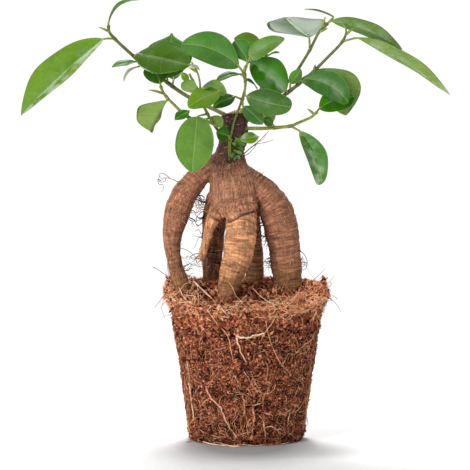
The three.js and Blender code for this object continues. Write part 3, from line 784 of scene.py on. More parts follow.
# The wrinkle pattern darkens the bark in its troughs and lightens it on its crests: the bark's own grain,
# together with painted shade and painted highlight on folds that exist only as relief in the light.
shade = bark.ramp(wrinkle, *SHADE_TONES)
pores = bark.cells(bark.stretched(where, 0.6, 0.6, 1.0), 0.5)
pore_mask = bark.ranged(pores, 0.10, 0.18, 0.75, 0.0)
colour = bark.mixed(1.0, bark.measured("tint", "Color"), shade, "MULTIPLY")
brighter = bark.mixed(1.0, bark.measured("tint", "Color"), (1.9, 1.85, 1.75, 1), "MULTIPLY")
colour = bark.mixed(bark.ranged(speckle, 0.56, 0.72, 0.0, 0.8), colour, brighter)
colour = bark.mixed(bark.ranged(speckle, 0.28, 0.40, 0.65, 0.0), colour, paint(62, 40, 32))
colour = bark.mixed(pore_mask, colour, brighter)
fine = bark.relief(wrinkle, 1.4)
bark_finish = bark.done(colour, bark.relief(speckle, 0.35, fine))
wood_piece = wood.piece(
    "trunk_wood", bark_finish, "trunk_and_roots", "bark", bark_place=bark_place, ringed=ringed, tint=tint
)
print("bark on", len(wood_piece.data.polygons), "faces")

# %% [markdown]
# ## Scars on the belly
# Pale, slightly raised lines cross the belly, where the bark was once cut or stretched. They are visible
# from a step away, so they are thin real ridges, half sunk in the bark. Each is given by its two ends in the
# photograph and is laid on the skin between them.

# %% Lay the scars
SCARS = [
    ((218, 189.5), (237, 183.5)), ((222, 181), (247, 173.5)), ((232.5, 201.5), (248, 196.8)),
    ((231, 178.5), (241, 174.8)), ((237, 213), (257, 209.5)), ((240, 186), (244, 185)),
    ((284, 219), (285.5, 225)), ((290, 258), (290.5, 265)), ((236, 262), (240, 271)),
    ((216, 201), (221, 200)), ((274, 243), (277, 242.6)), ((262, 196), (267, 195)),
    ((226, 117.5), (229, 117)), ((231, 119), (233, 118.6)), ((236, 125), (239.5, 124)),
    ((226, 121.5), (227.5, 121)), ((224, 148), (229, 146.5)), ((219, 154), (223, 153)),
    ((228, 165), (231, 164.5)), ((176, 205), (178, 204)), ((169, 228), (170.5, 227)),
]
SCAR_STATIONS = 12
SCAR_RADIUS = 0.34
SCAR_SIDES = 6
SCAR_TONES = [(0.35, paint(150, 106, 78)), (0.65, paint(192, 150, 116))]

scars = Heap()
taper = SCAR_RADIUS * np.sin(np.pi * np.linspace(0.06, 0.94, SCAR_STATIONS)) ** 0.5
for start, end in SCARS:
    shares = np.linspace(0, 1, SCAR_STATIONS)[:, None]
    spots = np.array(start) * (1 - shares) + np.array(end) * shares
    hits = [seen_at(wood_tree, *spot)[0] for spot in spots]
    way = [hit for hit in hits if hit is not None]
    if len(way) == SCAR_STATIONS:
        scars.add(*tubes([way], taper, SCAR_SIDES))
scars.piece("belly_scars", [two_tone("scar_wood", 0.8, 0.5, 900, 3, *SCAR_TONES)])
print(len(scars.chunks), "scars")

# %% [markdown]
# ## The coir plug: shape
# The plug is a felt of coir, soil and root, so its surface is all crumbs and holes. Scattered crumbs alone
# would look like gravel on a pot. So the skin itself is made of grains first, coarse in the band at the top
# and fine on the wall, where the pot pressed it flat, and loose pieces come on top later. Larger holes sit
# where the photograph shows them, and the band draws in a little where it meets the wall.

# %% Grow the plug's skin
PLUG_CELL = 0.92
BAND_TOP = 86
COARSE_GRAIN = 4.8
FINE_GRAIN = 2.3
PLUG_CALM = 2
GRAIN_DEPTH, BAND_GRAIN_DEPTH = 0.6, 1.7
HOLLOW_DEPTH, BAND_HOLLOW_DEPTH = 1.6, 2.8
PIT_DEPTH = 2.4
PIT_SHARE = 0.24
HOLLOW_SHADE = 0.32
RAGGED_FOOT = 0.028
BAND_TAPER = 0.07
TAPER_START = (80, 87)
TAPER_END = (-107, -88)
TAPER_EDGE = (45, 53)
HOLLOWS = [
    ((275.5, 326.5), 3.0, 3.4), ((280, 329), 2.2, 2.6), ((289, 360), 2.4, 3.2), ((286, 350), 1.8, 2.6),
    ((241, 287), 1.8, 2.4), ((202, 340), 1.6, 2.4), ((301, 384), 1.6, 2.4), ((253, 283), 1.8, 2.4),
    ((229, 387), 1.6, 2.6), ((262, 350), 1.4, 2.2), ((223, 330), 1.6, 2.2), ((208, 425), 1.6, 2.6),
]

plug = Skin("root_ball", PLUG_CELL)
plug.calm(PLUG_CALM)
height = plug.points[:, 2]
loose = eased(height + 5 * lumps(plug.points, 12, 2, seed=5), BAND_TOP - 8, BAND_TOP + 6)
footing = eased(height, 0.3, 2.5)
coarse = grains(plug.points, COARSE_GRAIN, seed=1)
fine_grain = grains(plug.points * np.array([1.0, 1.0, 1.35]), FINE_GRAIN, seed=2)
hollows = np.minimum(lumps(plug.points, 9, 3, seed=6) + 0.12, 0)
relief = (
    (GRAIN_DEPTH + BAND_GRAIN_DEPTH * loose) * (coarse - 0.45)
    + (fine_grain - 0.5)
    + (HOLLOW_DEPTH + BAND_HOLLOW_DEPTH * loose) * hollows
)
plug.raise_by(relief * footing)
pits = np.minimum(lumps(plug.points, 4.2, 2, seed=9) + PIT_SHARE, 0)
plug.raise_by(PIT_DEPTH * pits * footing)
early_tree = plug.tree()
for spot, depth, reach in HOLLOWS:
    pit = -closeness(plug.points, seen_at(early_tree, *spot)[0], reach)
    plug.raise_by(depth * pit)
    # Painted shade: the listed hollows also darken the coir's colour.
    pits = pits + HOLLOW_SHADE * pit
near_floor = eased(-height, -11, -1)
ragged = RAGGED_FOOT * near_floor * lumps(plug.points * np.array([1, 1, 0.3]), 9, 3, seed=8)
plug.points[:, :2] *= (1 + ragged)[:, None]
plug.points[:, 2] = np.maximum(plug.points[:, 2], 0)
from_axis = np.hypot(plug.points[:, 0], plug.points[:, 1])
taper = BAND_TAPER * eased(height, *TAPER_START) * eased(-height, *TAPER_END) * eased(from_axis, *TAPER_EDGE)
plug.points[:, :2] *= (1 - taper)[:, None]
plug_tree = plug.tree()
plug_normals = plug.normals()
print("plug skin", len(plug.points), "points")

# %% [markdown]
# ## The coir plug: colour
# Coir is red-brown where it is damp, orange-tan where it is dry, and nearly black in the gaps. One value per
# point tells the material how dry the place is, with painted shade in its cracks, pits and hollows, and fine
# patterns break that up.

# %% Finish the coir
COIR_TONES = [
    (0.02, paint(26, 16, 15)), (0.2, paint(60, 31, 25)), (0.4, paint(120, 62, 43)),
    (0.6, paint(174, 94, 62)), (0.8, paint(224, 140, 96)), (1.0, paint(255, 204, 162)),
]
FULL_SIDES = [(54, 26, 0.48), (-80, 18, 0.26)]


def coir_recipe(name, chip_share):
    """Coir whose colour follows the stored dryness and painted shade, from black shaded gaps to dry orange
    fibre.
    """
    coir = Recipe(name, 0.95, Specular_IOR_Level=0.15)
    here = coir.place()
    torn = coir.shaken(here, 420, 0.0022)
    lying = coir.tones(coir.stretched(torn, 1.0, 1.0, 2.6), 520)
    standing = coir.tones(coir.stretched(torn, 2.4, 2.4, 1.0), 480)
    side = coir.ranged(coir.cloud(here, 330, 1), 0.48, 0.52)
    chips = coir.mixed(side, lying, standing)
    small = coir.tones(torn, 1500)
    hairs = coir.cloud(coir.stretched(here, 1.0, 1.0, 2.2), 900, 4, 0.7)
    dryness = coir.sum(coir.measured("dryness"), coir.ranged(chips, 0, 1, -chip_share, chip_share))
    dryness = coir.sum(dryness, coir.ranged(small, 0, 1, -0.12, 0.12))
    dryness = coir.sum(dryness, coir.ranged(hairs, 0.3, 0.7, -0.12, 0.12))
    rough = coir.relief(hairs, 0.8)
    return coir.done(coir.ramp(dryness, *COIR_TONES), coir.relief(chips, 0.6, rough))


coir_finish = coir_recipe("coir", 0.34)
loose_finish = coir_recipe("loose_coir", 0.08)
# Painted shade: the value falls in the cracks between grains, in the hollows and in the pits, down to the
# ramp's near-black. It is also a little lower in the band and towards the bottom.
dryness = 0.47 + 0.36 * (fine_grain - 0.5) + 0.22 * (coarse - 0.45) + 0.6 * hollows - 0.06 * loose
dryness = dryness - 0.08 * eased(-height, -12, -2) + 1.1 * pits
around = np.degrees(np.arctan2(plug.points[:, 0], -plug.points[:, 1]))
frayed = sum(np.exp(-(((around - middle) / (1.3 * spread)) ** 2)) for middle, spread, _ in FULL_SIDES)
frayed_rim = np.minimum(frayed, 1) * eased(height, 94, 104)
# The coir, and the crumbs on it, are made darker under the frayed rim.
dryness = dryness - 0.16 * frayed_rim
plug_piece = plug.piece("coir_plug", coir_finish, "root_ball", "coir", dryness=dryness)
print("coir on", len(plug_piece.data.polygons), "faces")

# %% [markdown]
# ## Loose crumbs of coir
# Splinters lie flat in the wall, and bigger chips of husk lie in the band and on the soil. Each is an
# eight-sided lump with its corners moved at random and its own tone, flat-shaded so that its facets catch
# the light. They are set on random points of the plug, and on the feet of the fat roots, all at once in
# arrays. Each row of the tables below is one kind: how many, where they like to lie, their smallest and
# largest half lengths, their tone and its spread, a seed, how much they tilt and how far they stand out.

# %% Scatter the crumbs
CRUMB_CORNERS = np.array([(1, 0, 0), (0, 1, 0), (-1, 0, 0), (0, -1, 0), (0, 0, 1), (0, 0, -1)], float)
CRUMB_FACES = np.array([
    (0, 1, 4), (1, 2, 4), (2, 3, 4), (3, 0, 4), (1, 0, 5), (2, 1, 5), (3, 2, 5), (0, 3, 5),
])
CORNER_WEAR = (0.55, 1.3)


def lumps_at(centres, normals, sizes, spread, draw):
    """Eight-sided lumps that lie on their normals, tilted at random, as points and faces."""
    count = len(centres)
    up = unit(normals + draw.normal(0, spread, (count, 3)))
    along = unit(np.cross(up, draw.normal(size=(count, 3))))
    across = np.cross(up, along)
    corners = CRUMB_CORNERS * sizes[:, None] * draw.uniform(*CORNER_WEAR, (count, 6, 1))
    lying = corners[..., :1] * along[:, None] + corners[..., 1:2] * across[:, None]
    points = (lying + corners[..., 2:] * up[:, None] + centres[:, None]).reshape(-1, 3)
    points[:, 2] = np.maximum(points[:, 2], 0.05)
    faces = (CRUMB_FACES[None] + 6 * np.arange(count)[:, None, None]).reshape(-1, 3)
    return points, [tuple(face) for face in faces.tolist()]


def coir_lumps(heap, skin, skin_normals, darkening, rows):
    """Lumps on random points of a skin, with sizes between two triples of half lengths."""
    for count, weights, low, high, dry, seed, spread, lift in rows:
        draw = np.random.default_rng(seed)
        chosen = scattered(count, weights, draw)
        sizes = np.array(low) + draw.random((count, 1)) ** 1.6 * (np.array(high) - np.array(low))
        centres = skin.points[chosen] + skin_normals[chosen] * (lift * sizes[:, 2:])
        tone = np.clip(draw.normal(*dry, count) - darkening[chosen], 0.02, 0.98)
        crumbs = lumps_at(centres, skin_normals[chosen], sizes, spread, draw)
        heap.add(*crumbs, dryness=np.repeat(tone, 6)[:, None])


above_floor = footing * (height > 1.5)
on_wall = above_floor * (1 - 0.9 * loose)
in_band = above_floor * loose
on_side = 1 - 0.55 * eased(plug_normals[:, 2], 0.5, 0.9)
band_foot = above_floor * np.exp(-(((height - 90) / 6) ** 2)) * (plug_normals[:, 2] < 0.6)
foot_edge = footing * eased(-height, -9, -3) * (from_axis > 25)
wood_normals = wood.normals()
wood_feet = eased(-wood.points[:, 2], -110, -99) * (wood.points[:, 2] > 90)
splinter_kinds = [
    (9500, on_wall, (0.6, 0.25, 0.18), (1.9, 0.5, 0.35), (0.59, 0.28), 11, 0.3, 0.6),
    (3800, on_wall, (0.5, 0.4, 0.3), (1.1, 0.9, 0.6), (0.52, 0.2), 12, 0.5, 0.3),
]
chip_kinds = [
    (4800, in_band * on_side, (0.7, 0.5, 0.35), (3.2, 2.0, 1.2), (0.54, 0.22), 13, 0.8, 0.7),
    (3000, in_band, (0.5, 0.4, 0.3), (1.5, 1.1, 0.8), (0.6, 0.2), 14, 0.9, 1.1),
    (900, band_foot, (1.1, 0.8, 0.6), (3.6, 2.4, 1.4), (0.58, 0.13), 16, 0.8, 0.8),
    (600, foot_edge, (0.8, 0.5, 0.4), (2.6, 1.4, 1.1), (0.34, 0.2), 15, 0.9, 0.9),
]
clinging_kinds = [(900, wood_feet, (0.5, 0.35, 0.25), (2.0, 1.25, 0.85), (0.58, 0.22), 17, 0.6, 0.4)]

splinters = Heap()
coir_lumps(splinters, plug, plug_normals, 0.05 * frayed_rim, splinter_kinds)
splinter_piece = splinters.piece("wall_splinters", [loose_finish], smooth=False)
chips = Heap()
coir_lumps(chips, plug, plug_normals, 0.05 * frayed_rim, chip_kinds)
coir_lumps(chips, wood, wood_normals, np.zeros(len(wood.points)), clinging_kinds)
chip_piece = chips.piece("husk_chips", [loose_finish], smooth=False)
print(len(splinter_piece.data.polygons) + len(chip_piece.data.polygons), "faces of splinters and chips")

# %% [markdown]
# ## Coir fibres
# The felt is held by thousands of wiry fibres. Each starts on a random point of the skin and creeps over it
# in a slow curve, snapping back to the surface at every step. Each row of the table is one kind: the skin
# and its search tree, how many, where they start, their lengths, how high they arch, how thick they are,
# their tone and a seed.

# %% Lay the fibres
FIBRE_STATIONS = 7
FIBRE_SIDES = 3


def creep(tree, start, heading, length, lift, draw, turning=0.5):
    """The way of one fibre over a skin, lifted off it by a changing amount."""
    place = Vector(start)
    heading = Vector(heading)
    way = []
    step = length / (FIBRE_STATIONS - 1)
    arch = np.sin(np.pi * np.linspace(0.02, 0.98, FIBRE_STATIONS))
    for rise in lift * arch * draw.uniform(0.2, 1.6, FIBRE_STATIONS):
        near, normal = nearest(tree, place)
        heading = heading - normal * heading.dot(normal)
        heading = (heading.normalized() + Vector(draw.normal(0, turning, 3)) * 0.5).normalized()
        way.append(near + normal * rise)
        place = near + heading * step
    return way


def fibre_bundle(heap, skin, tree, count, weights, lengths, lift, radius, dry, seed):
    """Many fibres on a skin, drawn to where the weights are high."""
    draw = np.random.default_rng(seed)
    ways = np.array([
        creep(tree, skin.points[i], draw.normal(size=3), draw.uniform(*lengths), lift, draw)
        for i in draw.choice(len(skin.points), count, p=weights / weights.sum())
    ])
    ways[:, :, 2] = np.maximum(ways[:, :, 2], 0.3)
    thick = draw.uniform(0.7, 1.3, (count, 1)) * radius * np.linspace(1, 0.5, FIBRE_STATIONS)
    tone = np.clip(draw.normal(*dry, (count, 1)), 0, 1)
    heap.add(*tubes(ways, thick, FIBRE_SIDES), dryness=for_tubes(tone, ways, FIBRE_SIDES))


felt = Heap()
felt_on_wall = above_floor * (1 - 0.8 * loose)
bundles = [
    (plug, plug_tree, 1900, felt_on_wall, (4, 15), 0.6, 0.17, (0.52, 0.24), 21),
    (plug, plug_tree, 620, in_band, (6, 20), 2.2, 0.2, (0.72, 0.24), 22),
    (plug, plug_tree, 700, above_floor, (5, 14), 0.8, 0.24, (0.12, 0.08), 23),
    (plug, plug_tree, 260, felt_on_wall, (10, 32), 0.9, 0.22, (0.82, 0.1), 24),
    (plug, plug_tree, 420, foot_edge, (5, 14), 2.0, 0.24, (0.5, 0.28), 25),
    (plug, plug_tree, 150, above_floor * eased(-height, -45, -15), (8, 24), 1.0, 0.24, (0.95, 0.06), 26),
    (wood, wood_tree, 260, wood_feet, (4, 15), 1.2, 0.2, (0.7, 0.25), 27),
]
for bundle in bundles:
    fibre_bundle(felt, *bundle)
felt_piece = felt.piece("coir_fibres", [loose_finish])
print(sum(bundle[2] for bundle in bundles), "fibres,", len(felt_piece.data.polygons), "faces")

# %% [markdown]
# ## The ragged rim
# Round the top edge the fibres form a torn mat, palest and thickest at the right and the left of the
# photograph. Most of them creep over the edge like those on the wall, only higher, and the rest leave it and
# arch through the air. They are drier than the felt below, so they get a paler finish of their own.

# %% Fray the rim
FRINGE_COUNT = 1700
MATTED_SHARE = 0.8
RIM_RADIUS = 58.0
RIM_TOP = 112
RIM_DEPTH = 11
RIM_WEAR = 13
FULL_BODIED, EXTRA_BODY = 0.14, 1.45
PALE_SHARE = 0.66
RIM_TONES = [
    (0.1, paint(112, 56, 42)), (0.5, paint(200, 114, 76)),
    (0.8, paint(246, 164, 114)), (1.0, paint(255, 212, 168)),
]

draw = np.random.default_rng(31)
ways, tone = [], []
for _ in range(FRINGE_COUNT):
    pick = draw.random()
    angle = draw.uniform(-180, 180)
    for middle, spread, share in FULL_SIDES:
        angle = draw.normal(middle, spread) if 0 <= pick < share else angle
        pick -= share
    angle = math.radians(angle)
    out = Vector((math.sin(angle), -math.cos(angle), 0))
    along = Vector((math.cos(angle), math.sin(angle), 0)) * draw.choice([-1, 1])
    level = RIM_TOP - RIM_WEAR * max(math.cos(angle), 0) ** 0.6 - RIM_DEPTH * draw.random() ** 1.5
    inset = draw.uniform(0, 16) if draw.random() < 0.5 else 0
    near, normal = nearest(plug_tree, out * (RIM_RADIUS - inset) + Vector((0, 0, level + inset)))
    reach = draw.uniform(6, 20)
    along = (along + Vector((0, 0, draw.normal(0, 0.6)))).normalized()
    if draw.random() < MATTED_SHARE:
        points = creep(plug_tree, near, along, reach, draw.uniform(0.6, 2.4), draw, 0.45)
    else:
        bends = np.cumsum(draw.normal(0, 0.10, (4, 3)), axis=0) * reach
        rises = np.array([0.5, 0.9, 1.0, draw.uniform(0.2, 1.3)]) * draw.uniform(0.5, 2.6)
        points = [near - normal * 0.8]
        for share, rise, bend in zip((0.2, 0.45, 0.75, 1.0), rises, bends):
            points.append(near + normal * rise + along * reach * share + Vector(bend))
    ways.append(smooth_way(points, FIBRE_STATIONS))
    tone.append(draw.normal(0.95, 0.1) if draw.random() < PALE_SHARE else draw.uniform(0.2, 0.75))
ways = np.array(ways)
fringe = Heap()
thick = draw.uniform(0.13, 0.28, (FRINGE_COUNT, 1))
thick = thick * np.where(draw.random((FRINGE_COUNT, 1)) < FULL_BODIED, EXTRA_BODY, 1.0)
thick = thick * np.linspace(1, 0.5, FIBRE_STATIONS)
tones = for_tubes(np.clip(tone, 0.1, 1)[:, None], ways, FIBRE_SIDES)
fringe.add(*tubes(ways, thick, FIBRE_SIDES), dryness=tones)
rim_fibre = Recipe("rim_fibre", 0.8, Specular_IOR_Level=0.15)
rim_colour = rim_fibre.ramp(rim_fibre.measured("dryness"), *RIM_TONES)
fringe_piece = fringe.piece("rim_fringe", [rim_fibre.done(rim_colour)])
print(FRINGE_COUNT, "rim fibres")

# %% [markdown]
# ## Pale living roots
# Living roots run down the wall and along the bottom edge, pinkish-white and much paler than the coir. Where
# they show in the photograph their routes are given as places in it, and a line of sight finds
# each place on the plug. Some stand off the coir like taut strings, so these are set towards the eye by a
# given gap, with both ends sunk. Those at the foot are given in millimetres, and the hidden sides get roots
# at random. Each row holds a root's radius, its pallor, the gap of a taut one and its way.

# %% Run the roots over the plug
ROOT_ROUTES = [
    (0.85, 1.0, [(236, 335), (240, 337.5), (247, 337), (256, 335), (265, 333)]),
    (0.75, 0.9, [(237, 338), (238.5, 344), (241, 351), (246, 362)]),
    (0.35, 0.4, [(231, 372), (236, 378), (240, 384), (240, 391)]),
    (0.60, 0.8, [(189, 383), (191, 392), (192, 403), (194, 418), (191, 424), (189, 431)]),
    (0.65, 0.75, [(206, 387), (212, 398), (218, 405), (223, 413), (227, 422), (233, 432), (241, 444)]),
    (0.65, 0.55, [(242, 394), (243, 401), (244, 410), (247, 421), (248, 432), (250, 443)]),
    (0.65, 0.55, [(252, 407), (254, 415), (253, 425), (252, 438)]),
    (0.40, 0.6, [(252, 406), (258, 404), (262, 402), (264, 395), (269, 388)]),
    (0.60, 0.8, [(263, 421), (264, 430), (266, 438)]),
    (0.50, 0.9, [(265, 428), (270, 426), (276, 430), (280, 429), (286, 434)]),
    (0.45, 0.6, [(290, 409), (288, 421), (286, 433)]),
    (0.50, 0.7, [(315, 331), (310, 340), (304, 345), (295, 353)]),
    (0.36, 0.5, [(302, 347), (305, 352), (308, 361)]),
    (0.36, 0.5, [(218, 373), (214, 378), (210, 385), (208, 389)]),
    (0.40, 0.6, [(251, 371), (253, 378), (257, 386), (261, 391)]),
    (0.45, 0.7, [(211, 398), (205, 401), (200, 407)]),
    (0.50, 0.9, [(213, 440), (220, 442.5), (228, 444.5), (238, 444)]),
    (0.30, 0.8, [(201, 337), (200, 344), (200, 351)]),
    (0.32, 0.4, [(178, 300), (186, 313), (192, 322), (196, 334)]),
    (0.32, 0.4, [(233, 377), (228, 370), (222, 366), (214, 372)]),
    (0.36, 0.7, [(279, 411), (284, 414), (290, 409)]),
    (0.36, 0.5, [(186, 362), (188, 372), (187, 380), (190, 386)]),
    (0.34, 0.6, [(244, 371), (250, 381), (256, 390), (264, 393)]),
    (0.34, 0.4, [(224, 420), (233, 414), (241, 407), (252, 404)]),
    (0.34, 0.7, [(198, 429), (206, 433), (216, 436), (226, 437)]),
    (0.45, 0.8, [(241, 444), (246, 441), (251, 438)]),
    (0.40, 0.8, [(266, 438), (274, 438.5), (283, 437)]),
    (0.30, 0.3, [(305, 371), (309, 385), (307, 400)]),
    (0.30, 0.3, [(290, 340), (293, 352), (291, 363)]),
]
TAUT_ROOTS = [
    (0.58, 1.0, 4.2, [(188.5, 277), (197.5, 285), (207, 294), (217, 303), (228, 316)]),
    (0.45, 0.6, 1.4, [(218, 325.5), (224, 331), (228.5, 338), (231, 350), (234, 364.5)]),
    (0.38, 0.6, 1.2, [(265.5, 318), (267, 328), (271, 343), (280.5, 363), (291.5, 375)]),
    (0.36, 0.9, 3.2, [(196, 281), (198, 290), (198.6, 306)]),
    (0.38, 1.0, 3.2, [(179, 287), (183, 296), (189, 302), (197, 306)]),
    (0.34, 1.0, 3.0, [(205, 307), (213, 318), (219, 327)]),
    (0.34, 0.9, 2.4, [(175, 318), (183, 316), (187, 311), (188, 305)]),
    (0.30, 0.5, 1.6, [(240, 284), (246, 290), (253, 294)]),
    (0.30, 0.8, 1.4, [(276, 285), (276.5, 297), (275, 312)]),
    (0.34, 0.8, 0.9, [(186.5, 360), (189, 374), (189.5, 390), (193, 408)]),
    (0.30, 0.6, 0.8, [(206, 352), (220, 349), (228, 346)]),
]
FOOT_ROOTS = [
    (0.55, 0.9, [(-31, -29, 1.6), (-25, -35, 0.8), (-17, -40.5, 0.6), (-9, -44, 0.6), (-5, -46, 0.5)]),
    (0.40, 1.0, [(-15, -41, 0.6), (-10, -43, 0.5), (-8, -46, 0.4), (-12, -47, 0.4), (-7, -49, 0.4)]),
    (0.40, 0.7, [(-9, -44, 0.6), (-4, -42, 1.2), (2, -41, 0.8), (6, -42, 0.5), (12, -40, 0.9)]),
    (0.45, 0.9, [(14, -38, 0.7), (20, -35.5, 0.6), (27, -31, 0.6), (31, -27, 1.2)]),
    (0.35, 0.6, [(-38, -17, 1.0), (-41, -20, 0.5), (-44, -22, 0.4)]),
]
HIDDEN_ROOTS = 34
HIDDEN_FROM = -12
HIDDEN_BAND = (8, 84)
SUNK_END = -0.3
LEAST_TILT = 0.22
TAUT_STATIONS = 9
ROOT_STATIONS = 18
ROOT_SIDES = 6
ROOT_TONES = [
    (0.05, paint(124, 70, 48)), (0.4, paint(178, 116, 76)),
    (0.75, paint(212, 158, 118)), (1.0, paint(230, 192, 162)),
]

roots = Heap()


def lay_root(way, radius, pallor, draw):
    """A root of uneven thickness and tone along its way."""
    way[:, 2] = np.maximum(way[:, 2], 1.1 * radius)
    taper = radius * np.linspace(1.0, 0.6, ROOT_STATIONS) * draw.uniform(0.85, 1.15, ROOT_STATIONS)
    tone = pallor + 0.12 * draw.normal(size=ROOT_STATIONS)
    tone = np.concatenate([np.repeat(tone, ROOT_SIDES), tone[:1], tone[-1:]])[:, None]
    roots.add(*tubes([way], taper, ROOT_SIDES), pallor=tone)


def run_root(knots, radius, pallor, draw):
    """A root that creeps over the plug through its knots, half sunk in the coir and a little crooked."""
    way = smooth_way(knots, ROOT_STATIONS)
    way = way + draw.normal(0, 0.22, way.shape) * np.minimum(radius / 0.4, 1)
    for i, place in enumerate(way):
        near, normal = nearest(plug_tree, Vector(place))
        way[i] = 0.4 * place + 0.6 * np.array(near + normal * (0.8 * radius + 0.5))
    lay_root(way, radius, pallor, draw)


draw = np.random.default_rng(41)
for radius, pallor, route in ROOT_ROUTES:
    hits = [seen_at(plug_tree, *spot) for spot in route]
    knots = [hit + normal * 0.3 * radius for hit, normal in hits if hit is not None]
    if len(knots) > 1:
        run_root(knots, radius, pallor, draw)
for radius, pallor, lift, route in TAUT_ROOTS:
    route = smooth_way([(across, down, 0) for across, down in route], TAUT_STATIONS)[:, :2]
    knots = []
    for spot, gap in zip(route, [SUNK_END] + [lift] * (TAUT_STATIONS - 2) + [SUNK_END]):
        line = photo_line(*spot)
        hits = [seen_at(tree, *spot) for tree in (plug_tree, wood_tree)]
        hits = [(hit, normal) for hit, normal in hits if hit is not None]
        if hits:
            hit, normal = min(hits, key=lambda pair: (pair[0] - EYE).length)
            knots.append(hit - line * gap / max(-normal.dot(line), LEAST_TILT))
    lay_root(smooth_way(knots, ROOT_STATIONS), radius, pallor, draw)
for radius, pallor, route in FOOT_ROOTS:
    lay_root(smooth_way(route, ROOT_STATIONS), radius, pallor, draw)
behind = (plug.points[:, 1] > HIDDEN_FROM) & (height > HIDDEN_BAND[0]) & (height < HIDDEN_BAND[1])
for index in draw.choice(np.flatnonzero(behind), HIDDEN_ROOTS):
    heading = Vector((draw.normal(0, 0.5), draw.normal(0, 0.5), -1))
    length = draw.uniform(14, 42)
    knots = creep(plug_tree, plug.points[index], heading, length, 0.3, draw, 0.35)
    radius = draw.uniform(0.3, 0.75)
    pallor = draw.uniform(0.3, 0.95)
    run_root(knots, radius, pallor, draw)

root_finish = Recipe("living_root", 0.7, Specular_IOR_Level=0.3)
root_cloud = root_finish.cloud(root_finish.place(), 420, 4)
root_mottle = root_finish.ranged(root_cloud, 0.3, 0.7, -0.4, 0.4)
root_tone = root_finish.sum(root_finish.measured("pallor"), root_mottle)
root_colour = root_finish.ramp(root_tone, *ROOT_TONES)
roots.piece("living_roots", [root_finish.done(root_colour, root_finish.relief(root_cloud, 0.2))])
print(len(roots.chunks), "living roots")

# %% [markdown]
# ## Wiry rootlets
# Between the thick roots hangs a tangle of dry, nearly black rootlets, and a few more stand out from the left
# shoulder and the neck. A tangle is given by a spot in the photograph, its size, its depths, a count and the
# rootlets' radius. Each rootlet starts on the nearest wood, heads for a random place near the spot and then
# curls on. The few that stand alone are listed one by one, with a radius, an age, a depth and a way each.

# %% Tangle the rootlets
TANGLES = [
    ((202, 204), 6, (-4, 10), 16, 0.40),
    ((198, 218), 6, (-4, 8), 12, 0.36),
    ((201, 236), 5, (-4, 8), 5, 0.34),
    ((196, 256), 6, (-2, 12), 12, 0.34),
    ((190, 268), 6, (-4, 12), 8, 0.32),
    ((217, 232), 6, (-2, 14), 34, 0.36),
    ((213, 252), 6, (-2, 18), 14, 0.34),
    ((216, 266), 6, (-2, 18), 12, 0.32),
    ((260, 206), 6, (-8, 6), 12, 0.34),
    ((266, 222), 7, (-4, 10), 22, 0.36),
    ((265, 240), 5, (0, 12), 8, 0.34),
    ((269, 262), 6, (0, 14), 14, 0.32),
    ((303, 262), 4, (-6, 6), 8, 0.24),
    ((171, 258), 3, (-6, 4), 5, 0.24),
    ((230, 262), 7, (6, 22), 12, 0.34),
    ((247, 262), 10, (14, 34), 16, 0.34),
    ((205, 262), 9, (16, 36), 12, 0.34),
    ((240, 215), 16, (18, 32), 20, 0.34),
]
ROOTLET_STATIONS = 15
ROOTLET_SIDES = 4
STEPS_TO_AIM = 7
SAG = Vector((0, 0, -0.10))
ROOTLET_TONES = [
    (0.1, paint(26, 19, 20)), (0.5, paint(56, 38, 34)),
    (0.75, paint(128, 80, 62)), (1.0, paint(186, 126, 96)),
]


def wander(start, normal, aim, draw):
    """A wiry way that leaves the wood, heads for its aim and then strays round it."""
    place = start - normal * 0.5
    heading = normal + (aim - start).normalized()
    way = [place]
    step = max((aim - start).length / STEPS_TO_AIM, 0.8)
    for number in range(ROOTLET_STATIONS - 1):
        pull = (aim - place) * (0.6 * (number < STEPS_TO_AIM) / max((aim - place).length, 1.0))
        kink = Vector(draw.normal(0, 0.42, 3)) + SAG
        heading = (heading.normalized() + pull + kink).normalized()
        place = place + heading * step * draw.uniform(0.5, 1.4)
        way.append(place)
    return way


